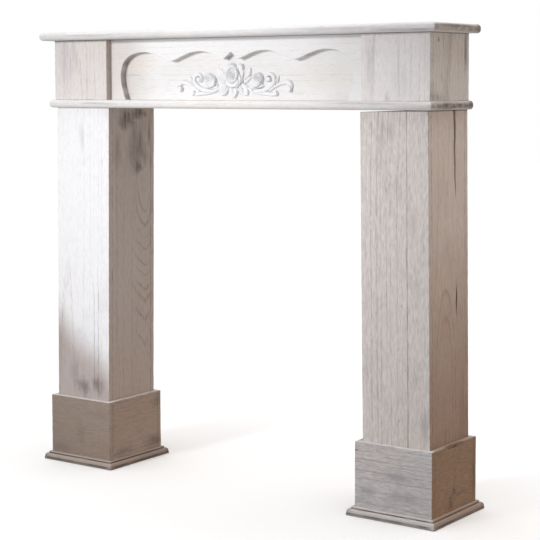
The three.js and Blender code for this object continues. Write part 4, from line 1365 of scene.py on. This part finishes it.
def close_relief(relief):
    """The relief as a closed mesh: the cells that touch the outline's inside, with their outer points drawn
    onto the outline along the gradient of the inside distance, and the same cells again as a flat back.
    Cells that touch only at a corner get a third beside them. Returns the points (x, z, h), the quads, and
    how hollow each point is."""
    inside, height = relief.inside, relief.height
    touched = inside > 0
    cells = touched[:-1, :-1] | touched[1:, :-1] | touched[1:, 1:] | touched[:-1, 1:]
    for _ in range(4):
        cells[1:, :-1] |= cells[:-1, :-1] & cells[1:, 1:] & ~cells[1:, :-1] & ~cells[:-1, 1:]
        cells[:-1, :-1] |= cells[1:, :-1] & cells[:-1, 1:] & ~cells[:-1, :-1] & ~cells[1:, 1:]
    used = np.zeros(inside.shape, bool)
    for di in (0, 1):
        for dj in (0, 1):
            used[di:inside.shape[0] - 1 + di, dj:inside.shape[1] - 1 + dj] |= cells
    pitch = relief.x[1, 0] - relief.x[0, 0]
    slope_x, slope_z = np.gradient(inside, pitch)
    steep = np.maximum(slope_x ** 2 + slope_z ** 2, 0.3)
    out = np.where(inside < 0, inside, 0.0)
    x = relief.x - np.clip(out * slope_x / steep, -pitch, pitch)
    z = relief.z - np.clip(out * slope_z / steep, -pitch, pitch)
    shoulder = np.sqrt(np.clip(inside / 1.1, 0, 1))
    lifted = np.where(touched, height * shoulder, 0.0)
    blurred = height
    for _ in range(6):
        blurred = soften(blurred)
    # How hollow a point is, from the blurred height and the creases: the paint darkens there as painted
    # shade, like ambient occlusion, and grime.
    hollow = np.clip(np.maximum((blurred - height) * 0.9, relief.crease * 0.85), 0, 1)
    index = np.full(inside.shape, -1)
    index[used] = np.arange(used.sum())
    count = used.sum()
    base = 0.15
    front = np.stack([x[used], z[used], lifted[used] + base], axis=1)
    back = np.stack([x[used], z[used], np.zeros(count)], axis=1)
    a, b, c, d = index[:-1, :-1][cells], index[1:, :-1][cells], index[1:, 1:][cells], index[:-1, 1:][cells]
    faces = [np.stack([a, b, c, d], axis=1), np.stack([d, c, b, a], axis=1) + count]
    ringed = np.pad(cells, 1)
    for di, dj, first, second in ((0, -1, (0, 0), (1, 0)), (1, 0, (1, 0), (1, 1)), (0, 1, (1, 1), (0, 1)),
                                  (-1, 0, (0, 1), (0, 0))):
        beside = ringed[1 + di:ringed.shape[0] - 1 + di, 1 + dj:ringed.shape[1] - 1 + dj]
        rows, columns = np.nonzero(cells & ~beside)
        p = index[rows + first[0], columns + first[1]]
        q = index[rows + second[0], columns + second[1]]
        faces.append(np.stack([p, p + count, q + count, q], axis=1))
    quads = np.concatenate(faces)
    return np.concatenate([front, back]), quads, np.concatenate([hollow[used], np.zeros(count)])


# Studio

class MANTEL_OT_studio(bpy.types.Operator):
    """Set the camera, the floor and the lights."""

    bl_idname = "mantel.studio"
    bl_label = "Studio"

    def execute(self, context):
        scene = context.scene
        settings = scene.studio_settings
        place_camera(scene, settings)
        lay_floor(scene, settings)
        hang_lights(scene, settings)
        light_all_round(scene, settings)
        scene.view_settings.view_transform = "Standard"
        return {"FINISHED"}


def place_camera(scene, settings):
    """The camera looks along (-sin yaw, cos yaw) with its tilt, and is rolled round that direction."""
    turns = (settings.camera_yaw, settings.camera_tilt, settings.camera_roll)
    yaw, tilt, roll = (math.radians(turn) for turn in turns)
    ahead = Vector((-math.sin(yaw) * math.cos(tilt), math.cos(yaw) * math.cos(tilt), math.sin(tilt)))
    level = Vector((math.cos(yaw), math.sin(yaw), 0))
    upright = level.cross(ahead)
    right = level * math.cos(roll) + upright * math.sin(roll)
    up = right.cross(ahead)
    turn = Matrix((right, up, -ahead)).transposed().to_4x4()
    data = bpy.data.cameras.new("photo_camera")
    data.sensor_width = 36
    data.lens = settings.camera_lens
    data.shift_y = settings.camera_shift
    data.clip_end = 100
    camera = bpy.data.objects.new("photo_camera", data)
    camera.matrix_world = Matrix.Translation(settings.camera_place) @ turn
    scene.collection.objects.link(camera)
    scene.camera = camera


def lay_floor(scene, settings):
    """A round floor. It takes shadows, and throws no light back up at the piece."""
    count = 96
    angles = np.linspace(0, 2 * np.pi, count + 1)[:-1]
    rim = np.stack([np.cos(angles), np.sin(angles), np.zeros(count)], axis=1) * settings.floor_radius
    mesh = bpy.data.meshes.new("pale_floor")
    mesh.from_pydata(rim.tolist(), [], [list(range(count))])
    finish = Finish("pale_floor_paint")
    tint = finish.ramp(finish.noise(finish.place(), 3.0), 0.3, 0.7, 0.0, 0.5)
    colour = finish.blend(tint, scene.mantel_colours.floor, (0.95, 0.95, 0.95))
    finish.put(colour, finish.shader.inputs["Base Color"])
    finish.shader.inputs["Roughness"].default_value = 0.9
    finish.shader.inputs["Emission Color"].default_value = (1, 1, 1, 1)
    finish.shader.inputs["Emission Strength"].default_value = 0.07
    mesh.materials.append(finish.material)
    floor = bpy.data.objects.new("pale_floor", mesh)
    floor.location = (0, 0, -0.4 * MM)
    floor.visible_diffuse = False
    scene.collection.objects.link(floor)


def aim(place, target):
    """A turn that makes a lamp at place shine at target."""
    return (Vector(target) - Vector(place)).to_track_quat("-Z", "Y").to_euler()


def hang_lights(scene, settings):
    """A soft window light from the front left, a weak broad light from the front, and a wide light from
    above."""
    window = bpy.data.lights.new("window_light", "SPOT")
    window.energy = settings.window_power
    window.spot_size = math.radians(36)
    window.spot_blend = 1.0
    window.shadow_soft_size = 0.2
    window.color = (1.0, 0.985, 0.97)
    front = bpy.data.lights.new("front_light", "AREA")
    front.energy = settings.fill_power
    front.size = 1.8
    front.color = (0.96, 0.98, 1.0)
    top = bpy.data.lights.new("top_light", "SUN")
    top.energy = settings.top_strength
    top.angle = math.radians(60)
    places = (
        (window, (-0.72, -2.55, 1.5), (-0.15, -0.08, 0.68)),
        (front, (-0.9, -3.2, 1.1), (0.1, 0.0, 0.5)),
        (top, (0, 0, 4), (0, 0, 0)),
    )
    for data, place, target in places:
        lamp = bpy.data.objects.new(data.name, data)
        lamp.location = place
        lamp.rotation_euler = aim(place, target)
        scene.collection.objects.link(lamp)


def light_all_round(scene, settings):
    """White surroundings to look at. The light that they give is cool from the front left and dimmer and
    warmer from the right."""
    world = bpy.data.worlds.new("white_studio")
    world.use_nodes = True
    scene.world = world
    tree = world.node_tree
    tree.nodes.clear()
    node = tree.nodes.new
    link = tree.links.new
    direction = node("ShaderNodeTexCoord").outputs["Generated"]
    facing = node("ShaderNodeVectorMath")
    facing.operation = "DOT_PRODUCT"
    facing.inputs[1].default_value = (-0.75, -0.62, 0.22)
    link(direction, facing.inputs[0])
    share = node("ShaderNodeMapRange")
    share.interpolation_type = "SMOOTHSTEP"
    share.inputs["From Min"].default_value = -0.8
    share.inputs["From Max"].default_value = 0.9
    link(facing.outputs["Value"], share.inputs["Value"])
    tint = node("ShaderNodeMix")
    tint.data_type = "RGBA"
    tint.inputs[6].default_value = (0.86, 0.74, 0.65, 1)
    tint.inputs[7].default_value = (0.97, 1.0, 1.04, 1)
    link(share.outputs["Result"], tint.inputs["Factor"])
    ambient = node("ShaderNodeBackground")
    ambient.inputs["Strength"].default_value = settings.ambient
    link(tint.outputs[2], ambient.inputs["Color"])
    seen = node("ShaderNodeBackground")
    seen.inputs["Color"].default_value = (1, 1, 1, 1)
    seen.inputs["Strength"].default_value = 1.0
    chosen = node("ShaderNodeMixShader")
    link(node("ShaderNodeLightPath").outputs["Is Camera Ray"], chosen.inputs["Fac"])
    link(ambient.outputs["Background"], chosen.inputs[1])
    link(seen.outputs["Background"], chosen.inputs[2])
    link(chosen.outputs["Shader"], node("ShaderNodeOutputWorld").inputs["Surface"])


class MANTEL_PT_sidebar(bpy.types.Panel):
    """The mantelpiece's operators, in the order in which they are used."""

    bl_idname = "MANTEL_PT_sidebar"
    bl_label = "Mantelpiece"
    bl_space_type = "VIEW_3D"
    bl_region_type = "UI"
    bl_category = "Mantelpiece"

    def draw(self, context):
        for operator in OPERATORS:
            self.layout.operator(operator.bl_idname)


GROUPS = {
    "mantel_sizes": MantelSizes,
    "frieze_sizes": FriezeSizes,
    "mantel_colours": MantelColours,
    "studio_settings": StudioSettings,
}
OPERATORS = (
    MANTEL_OT_studio,
    MANTEL_OT_shelves,
    MANTEL_OT_header_blocks,
    MANTEL_OT_frieze,
    MANTEL_OT_legs,
    MANTEL_OT_plinths,
    MANTEL_OT_base_mouldings,
    MANTEL_OT_ornament,
)


def register():
    for name, group in GROUPS.items():
        bpy.utils.register_class(group)
        setattr(bpy.types.Scene, name, bpy.props.PointerProperty(type=group))
    for operator in OPERATORS:
        bpy.utils.register_class(operator)
    bpy.utils.register_class(MANTEL_PT_sidebar)


def unregister():
    bpy.utils.unregister_class(MANTEL_PT_sidebar)
    for operator in reversed(OPERATORS):
        bpy.utils.unregister_class(operator)
    for name, group in GROUPS.items():
        delattr(bpy.types.Scene, name)
        bpy.utils.unregister_class(group)


def main():
    register()
    bpy.ops.mantel.studio()
    bpy.ops.mantel.shelves()
    bpy.ops.mantel.header_blocks()
    bpy.ops.mantel.frieze()
    bpy.ops.mantel.legs()
    bpy.ops.mantel.plinths()
    bpy.ops.mantel.base_mouldings()
    bpy.ops.mantel.ornament()
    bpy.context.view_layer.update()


if __name__ == "__main__":
    main()
